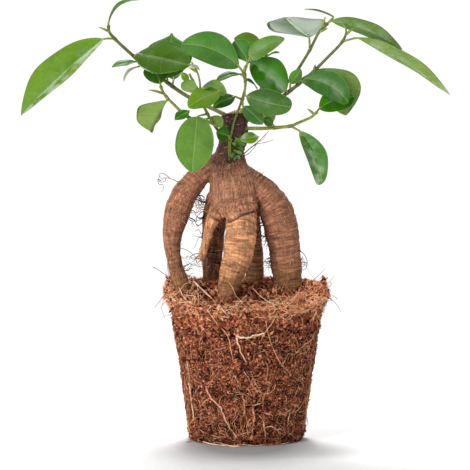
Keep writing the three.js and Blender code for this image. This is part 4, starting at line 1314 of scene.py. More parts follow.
draw = np.random.default_rng(51)
ways, thick, age = [], [], []
for spot, spread, depths, count, radius in TANGLES:
    for _ in range(count):
        aim = photo_point(*(np.array(spot) + draw.normal(0, spread / 2, 2)), draw.uniform(*depths))
        start, normal = nearest(wood_tree, aim)
        ways.append(wander(start, normal, aim, draw))
        thick.append(radius * draw.uniform(0.5, 1.25) * np.linspace(1, 0.4, ROOTLET_STATIONS))
        age.append(draw.uniform(0, 1) ** 1.5)
ROOTLETS_BY_HAND = [
    (0.32, 0.75, -4, [(182, 184), (176, 181), (170, 178.5), (164, 178), (161, 181)]),
    (0.26, 0.5, -4, [(170, 178.5), (166, 175), (161, 173), (159, 176), (162, 179)]),
    (0.26, 0.35, -4, [(161, 181), (158, 179), (159, 184), (163, 185), (163, 190), (161, 192)]),
    (0.22, 0.6, -4, [(166, 178), (165, 181), (160, 182), (158.5, 178), (161, 175.5)]),
    (0.42, 0.7, -11, [(240, 156), (246, 152), (252, 146.5), (258, 142), (264, 136), (269, 131)]),
    (0.36, 0.85, -10, [(242, 156), (250, 148.5), (257, 144), (265, 142.5), (274, 139.5)]),
    (0.28, 0.5, -10, [(240, 157), (248, 154), (252, 150), (256, 145), (258, 139)]),
    (0.24, 0.8, -11, [(258, 142), (262, 140), (265, 137), (266, 133)]),
    (0.34, 0.75, -14, [(172, 262), (172, 252), (181, 248.5), (190, 252), (197, 258), (203, 260)]),
    (0.30, 0.5, -14, [(172, 254), (168, 261), (168, 270), (170, 280)]),
    (0.24, 0.6, -20, [(153, 267), (160, 271), (168, 277), (173, 282)]),
    (0.28, 0.3, -4, [(298, 250), (303, 253), (307, 261), (306, 268), (302, 271)]),
    (0.24, 0.5, -16, [(308, 286), (313, 281), (318, 276), (325, 269)]),
    (0.24, 0.45, -16, [(326, 296), (332, 300), (337, 305), (341, 312)]),
    (0.34, 0.45, -4, [(257, 179), (259.5, 177), (262, 174.5), (263.5, 172)]),
    (0.28, 0.5, -4, [(260, 181), (263, 178), (265.5, 177)]),
    (0.24, 0.5, -4, [(258, 178), (260, 175), (260.5, 172.5)]),
    (0.34, 0.9, -9, [(203, 207), (198, 205), (193, 207), (190, 212)]),
    (0.32, 0.95, -9, [(214, 217), (207, 212), (201, 209), (195, 207)]),
]
for radius, tone, depth, route in ROOTLETS_BY_HAND:
    knots = [photo_point(*spot, depth) for spot in route]
    ways.append(smooth_way(knots, ROOTLET_STATIONS))
    thick.append(radius * np.linspace(1, 0.45, ROOTLET_STATIONS))
    age.append(tone)
tangle = Heap()
ways = np.array(ways)
ages = for_tubes(np.array(age)[:, None], ways, ROOTLET_SIDES)
tangle.add(*tubes(ways, np.array(thick), ROOTLET_SIDES), age=ages)

rootlet_finish = Recipe("rootlet", 0.75, Specular_IOR_Level=0.25)
age_cloud = rootlet_finish.ranged(rootlet_finish.cloud(rootlet_finish.place(), 300), 0.3, 0.7, -0.2, 0.2)
rootlet_tone = rootlet_finish.sum(rootlet_finish.measured("age"), age_cloud)
rootlet_colour = rootlet_finish.ramp(rootlet_tone, *ROOTLET_TONES)
tangle.piece("wiry_rootlets", [rootlet_finish.done(rootlet_colour)])
print(len(ways), "rootlets")

# %% [markdown]
# ## Leaf finishes
# A ficus leaf is thick and waxy. Its upper side is glossy green with a pale midrib, faint side veins and a
# thin yellowish edge. Its underside is a matt grey-green. The veins could be painted in an image, but here
# each leaf point knows its distance from the midrib, its distance from the edge and its place between two
# side veins, and the material draws them from that, at any size of leaf. The gloss is low, and a pale bloom,
# more on some leaves than on others, is partly dust and partly painted sheen that stands for their soft
# sheen.

# %% Mix the leaf finishes
LEAF_BLOTCHES = [(0.32, (0.78, 0.82, 0.8, 1)), (0.5, (1, 1, 1, 1)), (0.7, (1.24, 1.16, 1.2, 1))]
LEAF_FLECKS = [(0.35, (0.93, 0.94, 0.93, 1)), (0.65, (1.07, 1.06, 1.07, 1))]
STEM_MOTTLE = [(0.35, (0.62, 0.60, 0.56, 1)), (0.65, (1.25, 1.25, 1.2, 1))]
DUST_AND_SHEEN = paint(150, 170, 140)
VEIN_GREEN = paint(150, 176, 96)


def leaf_recipe(name, roughness, gloss, pale_share, pale, vein_share):
    """One side of a leaf. A larger pale share gives the dull underside.

    The tint's fourth number is no opacity here: it says how much pale dust and painted sheen the leaf gets.
    """
    leaf = Recipe(name, roughness, Specular_IOR_Level=gloss)
    here = leaf.place()
    tint = leaf.measured("leaf_tint", "Color")
    parts = leaf.tree.nodes.new("ShaderNodeSeparateXYZ")
    leaf.tree.links.new(leaf.measured("leaf_place", "Vector"), parts.inputs[0])
    from_rib, from_edge, vein = parts.outputs[0], parts.outputs[1], parts.outputs[2]
    blotch = leaf.cloud(here, 70, 4, 0.62)
    fleck = leaf.cloud(here, 1100, 3, 0.65)
    base = leaf.mixed(pale_share, tint, pale)
    colour = leaf.mixed(1.0, base, leaf.ramp(blotch, *LEAF_BLOTCHES), "MULTIPLY")
    colour = leaf.mixed(1.0, colour, leaf.ramp(fleck, *LEAF_FLECKS), "MULTIPLY")
    # Dust and painted sheen: pale patches, strongest near the midrib, mixed in by each leaf's share.
    bloom = leaf.ranged(leaf.cloud(here, 90, 2, 0.5), 0.40, 0.72)
    bloom = leaf.sum(bloom, leaf.ranged(from_rib, 0.6, 6.0, 1.0, 0.15), "MULTIPLY")
    dust_and_sheen_share = leaf.sum(bloom, leaf.measured("leaf_tint", "Alpha"), "MULTIPLY")
    colour = leaf.mixed(dust_and_sheen_share, colour, DUST_AND_SHEEN)
    lighter = leaf.mixed(0.5, colour, VEIN_GREEN)
    phase = leaf.sum(vein, 1.0, "PINGPONG")
    lines = leaf.ranged(phase, 0.0, 0.10, vein_share, 0.0)
    colour = leaf.mixed(lines, colour, lighter)
    rib = leaf.ranged(from_rib, 0.18, 0.55, 0.65, 0.0)
    colour = leaf.mixed(rib, colour, lighter)
    edge = leaf.ranged(from_edge, 0.08, 0.6, 0.6, 0.0)
    colour = leaf.mixed(edge, colour, lighter)
    return leaf.done(colour, leaf.relief(lines, 0.05))


leaf_upper = leaf_recipe("leaf_upper", 0.45, 0.05, 0.0, paint(0, 0, 0), 0.2)
leaf_under = leaf_recipe("leaf_underside", 0.7, 0.05, 0.45, paint(124, 148, 84), 0.6)

stem_recipe = Recipe("green_stem", 0.5, Specular_IOR_Level=0.4)
stem_cloud = stem_recipe.cloud(stem_recipe.place(), 420, 4, 0.6)
stem_shade = stem_recipe.ramp(stem_cloud, *STEM_MOTTLE)
stem_colour = stem_recipe.mixed(1.0, stem_recipe.measured("leaf_tint", "Color"), stem_shade, "MULTIPLY")
stem_finish = stem_recipe.done(stem_colour, stem_recipe.relief(stem_cloud, 0.2))
print("leaf finishes ready")

# %% [markdown]
# ## One leaf
# The blade follows the same rule as the solid's: an oval outline along a midrib that bows and sways, each
# half folded up a little, the edge drooping. A scanned leaf would carry its own shape, while a rule lets
# every leaf be given by its two ends, its width and the way it faces. The fine blade adds a drawn-out tip, a
# wavy edge, a groove over the midrib, a rib below it and soft cushions between the side veins.

# %% Shape a leaf
FULLNESS = 0.62
MARGIN_DROOP = 0.12
BLADE_THICKNESS = 0.42
LEAF_ROWS = 30
LEAF_COLUMNS = 19
TIP_LENGTH = 0.035
VEIN_PAIRS = 8
EDGE_WAVES = (1.6, 1.9)
CUSHION_HEIGHT = 0.24
GROOVE_DEPTH, GROOVE_WIDTH = 0.30, 0.8
TINT_CHART = {
    "mid": (84, 122, 44), "sunlit": (90, 125, 34), "deep": (60, 106, 28), "bright": (46, 102, 4),
    "fresh": (86, 122, 20), "dusty": (64, 101, 43), "pale": (40, 70, 27), "blue": (60, 106, 42),
    "soft": (68, 114, 46), "mottled": (58, 92, 14), "olive": (106, 132, 52), "dark": (44, 84, 12),
    "dry": (150, 148, 128), "lit": (140, 168, 44), "mint": (96, 142, 92), "bud": (122, 138, 52),
    "stem": (106, 122, 36), "young_stem": (120, 138, 44), "brown_stem": (98, 78, 44),
    "worn_stem": (88, 98, 30), "fresh_stem": (124, 142, 32),
}
TINTS = {name: paint(*levels) for name, levels in TINT_CHART.items()}


def leaf(on, base, tip, width, face, fold, bow, tint, sway=0.0, skew=1.0, sharp=0.1, wave=0.04, full=FULLNESS,
         dust_and_sheen=0.15, glare=0.0):
    """A leaf as in the solid: its tint, the form of its tip and outline, its edge's wave, its dust and
    painted sheen.

    A glare is a painted pale sheen on one half: positive on the right-hand half, negative on the other.
    """
    return {
        "on": on, "base": base, "tip": tip, "width": width, "face": face, "fold": fold, "bow": bow,
        "tint": tint, "sway": sway, "skew": skew, "sharp": sharp, "wave": wave, "full": full,
        "dust_and_sheen": dust_and_sheen, "glare": glare,
    }


def blade_frame(one):
    """A leaf's base, length and three directions: along it, across it and out of its face."""
    base = np.array(one["base"], float)
    chord = np.array(one["tip"], float) - base
    ahead = unit(chord)
    face = np.array(one["face"], float)
    normal = unit(face - ahead * (face @ ahead))
    return base, np.linalg.norm(chord), ahead, np.cross(ahead, normal), normal


def midrib(one, share):
    """A point of the midrib."""
    base, length, ahead, side, normal = blade_frame(one)
    curve = 4 * length * share * (1 - share)
    return base + ahead * length * share + side * one["sway"] * curve + normal * one["bow"] * curve


def blade(one, draw, rows=LEAF_ROWS, columns=LEAF_COLUMNS):
    """A blade as points, the faces above and round the edge, the faces below, and its values.

    The values are each point's distance from the midrib and the edge and its place among the side veins.
    """
    base, length, ahead, side, normal = blade_frame(one)
    u = (0.5 - 0.5 * np.cos(np.pi * np.linspace(0, 1, rows)))[:, None]
    spread = np.linspace(-1, 1, columns)[None]
    v = np.sign(spread) * np.abs(spread) ** 1.15
    power = one["full"] + one["sharp"] * eased(u, 0.55, 1.0)
    half = 0.5 * one["width"] * np.maximum(np.sin(np.pi * u ** one["skew"]), 0) ** power
    drawn_out = 0.9 * np.clip((1 - u) / TIP_LENGTH, 0, 1) * (u > 0.5) + 0.35
    half = np.maximum(half, drawn_out * min(one["width"] / 20, 1))
    fold = math.radians(one["fold"])
    curve = 4 * length * u * (1 - u)
    phase = draw.uniform(0, 1, 2)
    ripples = [np.sin(2 * np.pi * (waves * u + start)) for waves, start in zip(EDGE_WAVES, phase)]
    ripple = np.where(v < 0, *ripples)
    vein = VEIN_PAIRS * (u - 0.24 * np.abs(v) ** 1.1 * one["width"] / length) + 0.3 * (v < 0)
    cushion = CUSHION_HEIGHT * np.sin(np.pi * np.mod(vein, 1))
    cushion = cushion * (1 - np.abs(v)) * np.minimum(1, np.abs(v) * 6)
    off_rib = np.abs(v) * half
    groove = GROOVE_DEPTH * np.exp(-((off_rib / GROOVE_WIDTH) ** 2)) * (1 - 0.6 * u)
    rise = half * (np.abs(v) * math.sin(fold) - MARGIN_DROOP * v**2 + one["wave"] * ripple * v**2)
    rise = rise + one["bow"] * curve
    middle = (
        base
        + (ahead * length)[None, None] * u[..., None]
        + side[None, None] * (half * v * math.cos(fold) + one["sway"] * curve)[..., None]
    )
    thick = 0.5 * BLADE_THICKNESS * np.minimum(1, (1.02 - np.abs(v)) * 5)
    above = middle + normal * (rise + cushion - groove + thick)[..., None]
    below = middle + normal * (rise + cushion - 1.5 * groove - thick)[..., None]
    points = np.concatenate([above.reshape(-1, 3), below.reshape(-1, 3)])
    values = np.stack(np.broadcast_arrays(off_rib, (1 - np.abs(v)) * half, vein), axis=-1).reshape(-1, 3)
    under = rows * columns
    tops, bottoms = [], []
    for i in range(rows - 1):
        for j in range(columns - 1):
            a = i * columns + j
            b, c, d = a + 1, a + columns + 1, a + columns
            tops.append((a, b, c, d))
            bottoms.append((a + under, d + under, c + under, b + under))
    rim = [i * columns for i in range(rows)]
    rim += [(rows - 1) * columns + j for j in range(1, columns)]
    rim += [i * columns + columns - 1 for i in range(rows - 2, -1, -1)]
    rim += list(range(columns - 2, 0, -1))
    for a, b in zip(rim, rim[1:] + rim[:1]):
        tops.append((b, a, a + under, b + under))
    return points, tops, bottoms, np.concatenate([values, values])


print("a leaf has", 2 * LEAF_ROWS * LEAF_COLUMNS, "points")

# %% [markdown]
# ## The leafy stems
# Each stem is listed as the solids have it: the way of its axis, its two radii, its side twigs, its leaves
# and its buds. They are regrown from these values rather than smoothed from the solids, because a thin blade
# can't be remeshed. Every leaf also gets a tint, from the dusty green of an old leaf to the yellow-green of a
# young one.

# %% List the stems and leaves
STEMS = {}
STEMS["stem_left_high"] = {
    "tint": "worn_stem",
    "path": [
        (-11, 2, 230.5), (-15.5, 4, 234), (-22, 8, 237.5), (-39, 14, 245.5), (-49, 17, 251.5),
        (-58, 18, 258), (-69.5, 17, 266.5), (-81, 14, 276), (-90.5, 10, 284.5), (-96, 8, 290),
        (-99, 7, 294), (-99.5, 7, 298.5),
    ],
    "radii": (1.7, 1.0),
    "leaves": [
        leaf((-99.5, 7, 298), (-99.5, 6, 300), (-77.5, 1, 316.5), 8, (-0.6, -0.3, 0.7), 25, 0.2, "deep"),
        leaf((-95, 8, 289), (-103, 3, 288.6), (-161, -14, 233.6), 37, (-0.55, -0.62, 0.3), 30, 0.03,
             "sunlit", sharp=0.2, dust_and_sheen=0.3, glare=-8),
        leaf((-81, 14, 276), (-79, 9, 278), (-40.5, -16, 269), 31, (0.1, -0.85, 0.55), 8, 0.04,
             "mottled", sharp=0.0),
        leaf((-57, 18, 257), (-57.5, 17, 261), (-54.5, 36, 294), 34, (0, -1, 0.5), 10, 0.06, "deep",
             skew=0.9, sharp=0.9),
        leaf((-79, 14.6, 274), (-80, 11, 272.5), (-97, 4, 268.4), 10, (-0.2, -0.5, 0.8), 12, 0.05, "deep"),
        leaf((-75, 15.6, 271), (-78, 12, 269), (-88.6, 7, 258), 6, (-0.6, -0.4, 0.6), 20, 0.16, "dry"),
        leaf((-54, 17.6, 255), (-53, 23, 260), (-60, 51, 271), 20, (0.1, -0.3, 0.95), 10, 0.08, "deep"),
    ],
    "buds": [((-98.5, 7, 293.5), (-107, 4, 297.5))],
}
STEMS["stem_left_low"] = {
    "tint": "stem",
    "path": [
        (-10, -4, 225), (-14, -7, 226), (-20, -10, 226.5), (-30, -13, 230), (-40.7, -13, 232),
        (-46.4, -12, 236), (-51.5, -9, 241), (-56.5, -6, 246), (-60, -3, 250.5), (-61.6, -1, 254.5),
    ],
    "radii": (1.4, 0.9),
    "leaves": [
        leaf((-61.6, -1, 254), (-62, 0.5, 256.5), (-69, 7.5, 272), 19, (0.2, -0.9, 0.4), 10, 0.05, "dark"),
        leaf((-57.5, -5, 247), (-57, -9, 244.5), (-69, -13, 222.5), 33, (-0.58, 0.74, 0.38), 44, 0.03,
             "olive", skew=1.7, sharp=-0.22, wave=0.07, full=0.5),
        leaf((-42.5, -12.7, 233), (-41.2, -16, 237), (-51, -21, 230.5), 9, (0, -0.7, 0.7), 10, 0.05,
             "bright"),
    ],
    "buds": [((-59, -4, 249), (-70.5, -9, 252))],
}
STEMS["stem_front_left"] = {
    "tint": "stem",
    "path": [
        (-11.5, -4, 218.5), (-15, -7, 219.6), (-19.5, -13, 222), (-22.5, -19, 226), (-27.7, -28, 234.7),
        (-31.3, -32, 242.6), (-33.5, -34, 249.8), (-37, -36, 256.3), (-40.5, -37, 263),
    ],
    "radii": (1.3, 0.8),
    "twigs": [([(-33, -33.6, 248.5), (-33, -34, 256), (-34.9, -35, 264.2), (-39, -36, 271.5)], (0.8, 0.6))],
    "leaves": [
        leaf((-27.7, -28, 234.7), (-34.8, -38, 232.8), (-38.3, -45, 193.7), 28, (-0.05, -1, 0.15), 14, 0.05,
             "mid", sharp=0.22, full=0.42),
        leaf((-30, -31, 240), (-19, -37, 250.5), (-41, -44, 239.5), 18, (-0.2, -0.85, 0.5), 12, 0.08,
             "fresh", sharp=-0.15, wave=0.08),
        leaf((-33.5, -34, 249.8), (-32, -31, 252.5), (-14, -28, 249), 15, (0.2, 0.75, 0.5), 12, 0.18,
             "mid"),
        leaf((-33.5, -34, 250.5), (-36.5, -38, 250), (-45.5, -43, 257), 12, (0.3, 0.85, 0.35), 14, 0.1,
             "mid"),
        leaf((-33, -34.5, 251.5), (-30.5, -38, 252.5), (-22.5, -43, 256), 7, (0, -0.6, 0.8), 10, 0.05,
             "dusty"),
        leaf((-37.5, -36.3, 257.5), (-41, -37, 257.5), (-45.6, -37, 264), 5.5, (-0.3, -0.9, 0.1), 15, 0.1,
             "fresh"),
        leaf((-37.5, -36.3, 268), (-40.5, -38, 269.5), (-33, -40, 265.5), 4, (0, -0.6, 0.8), 15, 0.08,
             "dry"),
        leaf((-24, -22, 229), (-24.5, -24.5, 233), (-17.5, -25, 225.5), 9, (0.2, 0.9, 0.2), 15, 0.1,
             "fresh"),
    ],
    "buds": [((-26, -25, 232), (-32.5, -28, 229.5)), ((-34.9, -35, 264), (-41, -37, 267.5))],
}
STEMS["stem_front"] = {
    "tint": "stem",
    "path": [
        (-11.9, -7.5, 197.5), (-12.6, -13.6, 205), (-12.7, -13.4, 213.8), (-11.2, -13.2, 219.6),
        (-9, -13.4, 229), (-6.8, -14, 235.4), (-4.3, -15, 241.9), (-2.5, -15.6, 247),
        (-1.1, -16, 253.4), (-1.1, -16, 259.2), (-2.2, -16, 264.2),
    ],
    "radii": (0.7, 0.95),
    "leaves": [
        leaf((-2, -16, 263.2), (-5.4, -17.5, 268.4), (-46.4, -22, 284), 27, (0.15, -0.9, 0.4), 14, 0.06,
             "soft", sway=0.09, sharp=-0.1),
        leaf((-2, -16, 263.6), (2.5, -15, 274.5), (27, -6, 289), 14, (0, -0.85, 0.5), 14, 0.04, "mid",
             sway=-0.06, dust_and_sheen=0.5, skew=0.72, full=0.46),
        leaf((-2, -15.6, 262.5), (0.6, -12, 273), (-8.5, -8.5, 287.3), 16, (-0.1, -0.9, 0.4), 8, 0.04,
             "blue", skew=1.35),
        leaf((-2, -15.8, 249), (-0.2, -18.5, 247.5), (31.6, -26, 239.5), 21, (0, -0.9, 0.4), 13, 0.04,
             "dusty", sway=0.05, sharp=-0.26, dust_and_sheen=0.35),
        leaf((-1.3, -16, 261), (-4.5, -18, 263), (-22, -27, 257), 10, (0, -0.42, 0.9), 12, 0.12, "dark"),
        leaf((-1.1, -16, 258), (-0.6, -12.5, 259.3), (7.5, -3.5, 252.5), 9, (0.3, -0.45, 0.8), 10, 0.1,
             "dark"),
        leaf((-3.2, -15.3, 245), (-8.5, -15, 247.2), (-23.8, -20, 239.3), 12, (0, -0.8, 0.6), 10, 0.1,
             "bright"),
        leaf((-3, -15.4, 245.6), (-2.6, -17.5, 240), (11.4, -21, 227.3), 13, (0.2, -0.9, 0.4), 10, 0.06,
             "blue"),
        leaf((-12.2, -13.3, 216.5), (-12.6, -16.5, 219), (-21.6, -20, 221.8), 12, (0, -1, 0.2), 8, 0.04,
             "bright"),
    ],
    "buds": [((-2.2, -16, 263), (-1, -18, 270))],
}
STEMS["stem_right_upper"] = {
    "tint": "worn_stem",
    "path": [
        (-4, 1, 227.5), (1.5, 2, 231), (9.7, 3, 237.6), (20.5, 4, 244.1), (29.2, 4, 249.8), (38.5, 4, 257),
        (47.9, 3, 265), (57.2, 2, 274.3), (68.8, 0, 286.6), (71.6, 0, 292.3),
    ],
    "radii": (1.7, 0.9),
    "twigs": [([(71.4, 0, 291.5), (71.2, 0, 296), (68.8, 0, 299.5)], (0.8, 0.6))],
    "leaves": [
        leaf((29.2, 4, 249.8), (28.6, 0, 251.5), (3, -6.5, 272), 26, (0.1, -0.95, 0.3), 13, 0.05,
             "bright", sway=0.03, sharp=-0.1, dust_and_sheen=0.6, glare=-1),
        leaf((37.5, 4, 256.2), (39, 0, 260), (72.4, -11, 242.6), 24, (0.3, -0.85, 0.45), 14, 0.05,
             "blue", sway=-0.13, sharp=-0.12, dust_and_sheen=0.6),
        leaf((48.5, 3, 265.6), (51.5, 8, 267), (72.5, 18, 233.8), 33, (0.35, 0.8, 0.35), 10, 0.05, "mid",
             sway=0.16, sharp=0.1),
        leaf((68.8, 0, 286.6), (79.6, -1.5, 289.2), (144.4, -20, 248.4), 23, (0.55, 0.36, 0.77), 16, 0.05,
             "olive", dust_and_sheen=1.0, glare=-4),
        leaf((31.5, 4, 251.6), (31.5, 1, 256.5), (39, -3, 267), 9, (0.3, -0.9, 0.3), 12, 0.06, "deep"),
    ],
    "buds": [((71.4, 0, 291.5), (77.6, -2, 296.8)), ((48.5, 3, 265.6), (49.5, 0, 270.5))],
}
STEMS["stem_right_top"] = {
    "tint": "worn_stem",
    "path": [
        (-5, 4.5, 232), (-0.5, 6.5, 234.5), (7, 8.5, 239.5), (16.9, 10.5, 247), (31.3, 12, 259.2),
        (37.8, 12, 267.8), (45.7, 10, 280.8), (52.9, 8, 294.5), (58.4, 6, 300),
    ],
    "radii": (1.4, 0.9),
    "leaves": [
        leaf((57.8, 6.2, 299.4), (61, 4.5, 301.6), (111.2, -9, 280.8), 21, (0.35, 0.5, 0.75), 14, 0.05,
             "deep", sway=0.03, dust_and_sheen=0.4, glare=0.5),
        leaf((45.7, 10, 280.8), (45, 5, 290), (28.5, 52, 306), 45, (0, -0.35, 0.93), 14, -0.02, "pale",
             dust_and_sheen=0.2),
        leaf((58.2, 6, 299.8), (62.5, 3.5, 304.6), (41.5, -3, 309.8), 9, (0.1, 0.02, 1), 12, 0.06, "deep"),
    ],
    "buds": [((54.5, 7.4, 296.5), (56.8, 5, 305)), ((52.5, 8, 293.5), (58.8, 6, 296.4))],
}
STEMS["stem_right_low"] = {
    "tint": "fresh_stem",
    "path": [
        (-4, -3, 223.6), (0.8, -4.6, 224.3), (11.2, -6.5, 224.4), (24.1, -8, 225.2), (31.3, -9, 226.1),
        (38.5, -9, 229), (46.4, -9, 232.6), (50.8, -9, 236.5),
    ],
    "radii": (1.5, 0.9),
    "leaves": [
        leaf((31.3, -9, 226.1), (38, -11.5, 222.5), (52.6, -16, 184.3), 17, (0.35, -0.9, 0.2), 16, 0.04,
             "soft", sway=-0.1, sharp=-0.24, dust_and_sheen=1.2, glare=2),
        leaf((50, -9, 235.8), (52, -5.5, 238.4), (78, 4, 246.5), 19, (0.05, -0.9, 0.45), 8, 0.05, "bright",
             sway=-0.08),
        leaf((-4, -3.2, 223.4), (-4.6, -12.0, 216.2), (9.2, -7.5, 218.4), 9.5, (0, -0.9, 0.4), 10, 0.06,
             "fresh", sharp=0.7, dust_and_sheen=0.8, glare=-2),
        leaf((20.5, -7.6, 224.9), (19, -9, 227), (11.6, -11, 231.4), 7.5, (0, -0.9, 0.4), 10, 0.05, "deep"),
    ],
    "buds": [((48.5, -9, 234.2), (43.4, -10, 238.6))],
}
STEMS["stem_back"] = {
    "tint": "stem",
    "path": [
        (-8, 4.5, 226.5), (-5.5, 10.5, 230.5), (-0.5, 15.5, 235.5), (6.1, 18.5, 242),
        (10.4, 20, 252), (12.6, 19, 266.4), (14, 17, 277.2), (13.5, 15, 281.5),
    ],
    "radii": (1.4, 0.9),
    "leaves": [
        leaf((13.6, 15.4, 280.6), (11.5, 12, 282), (-9, 5, 289), 16, (0, -0.9, 0.4), 8, 0.08, "fresh"),
        leaf((13.9, 17, 276.8), (16.5, 15.5, 277.6), (24, 13, 279), 5, (0, -0.4, 0.9), 15, 0.08, "deep"),
        leaf((11.5, 19.6, 258.5), (13, 24, 260), (24, 52, 264), 20, (-0.3, -0.2, 0.95), 10, 0.08, "mid"),
        leaf((12.6, 19, 266.4), (8, 23, 270), (-20, 42, 278), 20, (0.1, -0.2, 1), 10, 0.08, "deep"),
        leaf((6.3, 18.6, 242.3), (7, 24, 241.5), (17, 46, 226), 18, (0.2, 0.6, 0.75), 10, 0.08, "mid"),
    ],
    "buds": [((13.6, 15.2, 281), (15.6, 14.5, 287.5))],
}
print(sum(len(stem["leaves"]) for stem in STEMS.values()), "leaves on", len(STEMS), "stems")

# %% [markdown]
# ## Growing the stems
# A stem thickens where a leaf leaves it, and the leaf stalk runs on below the blade as its midrib. The
# stalk, the blade and the stem are separate closed shells that reach into each other, which is quicker than
# joining them and looks the same.

# %% Grow a stem with its leaves
UPPER_SIDE, UNDERSIDE, STEM_PART = 0, 1, 2
STATIONS_PER_KNOT = 6
STEM_SIDES = 9
NODE_SWELLING, NODE_LENGTH = 0.32, 1.5
NODE_BROWN, BROWN_LENGTH = 0.45, 1.8
STALK_STATIONS = 9
STALK_SIDES = 7
STALK_RADII = (0.85, 0.5)
BUD_STATIONS = 10
BUD_SIDES = 8
BUD_RADIUS = 0.95


def beside_nodes(way, nodes, reach):
    """How close a way's stations are to each of its nodes."""
    return [np.exp(-((np.linalg.norm(way - np.array(node), axis=1) / reach) ** 2)) for node in nodes]


def grow_axis(heap, path, radii, nodes, tint):
    """A stem or twig, swollen at the nodes where leaves leave it."""
    stations = STATIONS_PER_KNOT * (len(path) - 1) + 1
    way = smooth_way(path, stations)
    thick = np.linspace(*radii, stations)
    for close in beside_nodes(way, nodes, NODE_LENGTH):
        thick = thick + NODE_SWELLING * close
    brown = 0.9 * eased(np.linspace(1, 0, stations), 0.8, 1.0)[:, None]
    for close in beside_nodes(way, nodes, BROWN_LENGTH):
        brown = np.maximum(brown, NODE_BROWN * close[:, None])
    colours = np.array(TINTS[tint]) * (1 - brown) + np.array(TINTS["brown_stem"]) * brown
    colours = np.vstack([np.repeat(colours, STEM_SIDES, axis=0), colours[:1], colours[-1:]])
    heap.add(*tubes([way], thick, STEM_SIDES), slot=STEM_PART, leaf_tint=colours)


def grow_leaf(heap, one, draw):
    """A stalk and its blade."""
    knots = [one["on"], one["base"], midrib(one, 0.05), midrib(one, 0.13)]
    way = smooth_way(knots, STALK_STATIONS)
    stalk = tubes([way], np.linspace(*STALK_RADII, STALK_STATIONS), STALK_SIDES)
    heap.add(*stalk, slot=STEM_PART, leaf_tint=TINTS["young_stem"])
    points, tops, bottoms, values = blade(one, draw)
    side = np.tile(np.sign(np.linspace(-1, 1, LEAF_COLUMNS)), 2 * LEAF_ROWS)
    along = np.tile(np.repeat(np.linspace(-1, 1, LEAF_ROWS), LEAF_COLUMNS), 2)
    # Each leaf gets its own tone, and one half and one end of the blade are made lighter or darker at random:
    # partly tone, partly painted shade between the two halves.
    shift = 1 + 0.06 * draw.normal() + draw.normal(0, 0.09) * side + draw.normal(0, 0.08) * along
    tint = np.array(TINTS[one["tint"]]) * shift[:, None]
    # The tint's fourth number: pale dust and painted sheen, with the glare as painted sheen on one half.
    tint[:, 3] = one["dust_and_sheen"] + abs(one["glare"]) * (side * one["glare"] > 0)
    heap.add(points, tops, slot=UPPER_SIDE, leaf_tint=tint, leaf_place=values)
    heap.more_faces(bottoms, UNDERSIDE)


def grow_bud(heap, foot, tip):
    """A pointed bud in its sheath."""
    foot, tip = np.array(foot, float), np.array(tip, float)
    middle = (foot + tip) / 2 + np.array([0, 0, 0.04 * np.linalg.norm(tip - foot)])
    way = smooth_way([foot, middle, tip], BUD_STATIONS)
    share = np.linspace(0, 1, BUD_STATIONS)
    thick = np.maximum(BUD_RADIUS * np.maximum(np.sin(np.pi * (0.2 + 0.8 * share)), 0) ** 0.8, 0.08)
    heap.add(*tubes([way], thick, BUD_SIDES), slot=STEM_PART, leaf_tint=TINTS["bud"])


draw = np.random.default_rng(61)
for name, stem in STEMS.items():
    heap = Heap()
    grow_axis(heap, stem["path"], stem["radii"], [one["on"] for one in stem["leaves"]], stem["tint"])
    for path, radii in stem.get("twigs", []):
        grow_axis(heap, path, radii, [], "young_stem")
    for one in stem["leaves"]:
        grow_leaf(heap, one, draw)
    for foot, tip in stem["buds"]:
        grow_bud(heap, foot, tip)
    shoot = heap.piece(name.replace("stem", "shoot"), [leaf_upper, leaf_under, stem_finish])
    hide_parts(name)
    print(shoot.name, len(shoot.data.polygons), "faces")

# %% [markdown]
# ## The sprout in the fork
# Where the neck meets the belly, a tuft of tiny curled leaves grows out of a patch of moss. The leaves are
# the same blades at a small size, set on the bark at places of the photograph and turned at random.

# %% Plant the sprout and its moss
SPROUT_SPOTS = [
    ((234, 142), (240, 139), 4.5, "fresh"), ((236, 140), (243, 145), 6.5, "bright"),
    ((237, 145), (245, 149), 4.5, "bright"), ((236, 145), (232, 142), 3.5, "fresh"),
    ((238, 147), (241, 152), 4.0, "bright"), ((235, 151), (239, 154), 3.5, "mint"),
    ((234, 153), (231, 157), 3.5, "mint"), ((236, 155), (238, 161), 4.0, "mint"),
    ((233, 157), (233, 162), 3.5, "mint"), ((237, 153), (233, 149), 3.0, "fresh"),
    ((240, 143), (235, 139), 3.5, "bright"), ((236, 158), (234, 155), 4.0, "mint"),
]
SPROUT_ROWS, SPROUT_COLUMNS = 10, 7
SPROUT_TINTING = np.array([1.15, 1.15, 1.15, 0.1])
SPROUT_STALK = [((230.5, 156), 0), ((230, 149), 1.2), ((231, 143), 1.6), ((232, 139), 1.4)]
SPROUT_STATIONS = 12
SPRIG_RADII = [0.45, 0.42, 0.38, 0.34, 0.3]
SPRIG_SIDES = 6
MOSS_COUNT = 420
MOSS_SPREAD = (5.0, 9.0)
MOSS_MIDDLE = (236.5, 150)
MOSS_DARK = np.array(paint(34, 66, 10))
MOSS_LIGHT = np.array(paint(104, 132, 30))

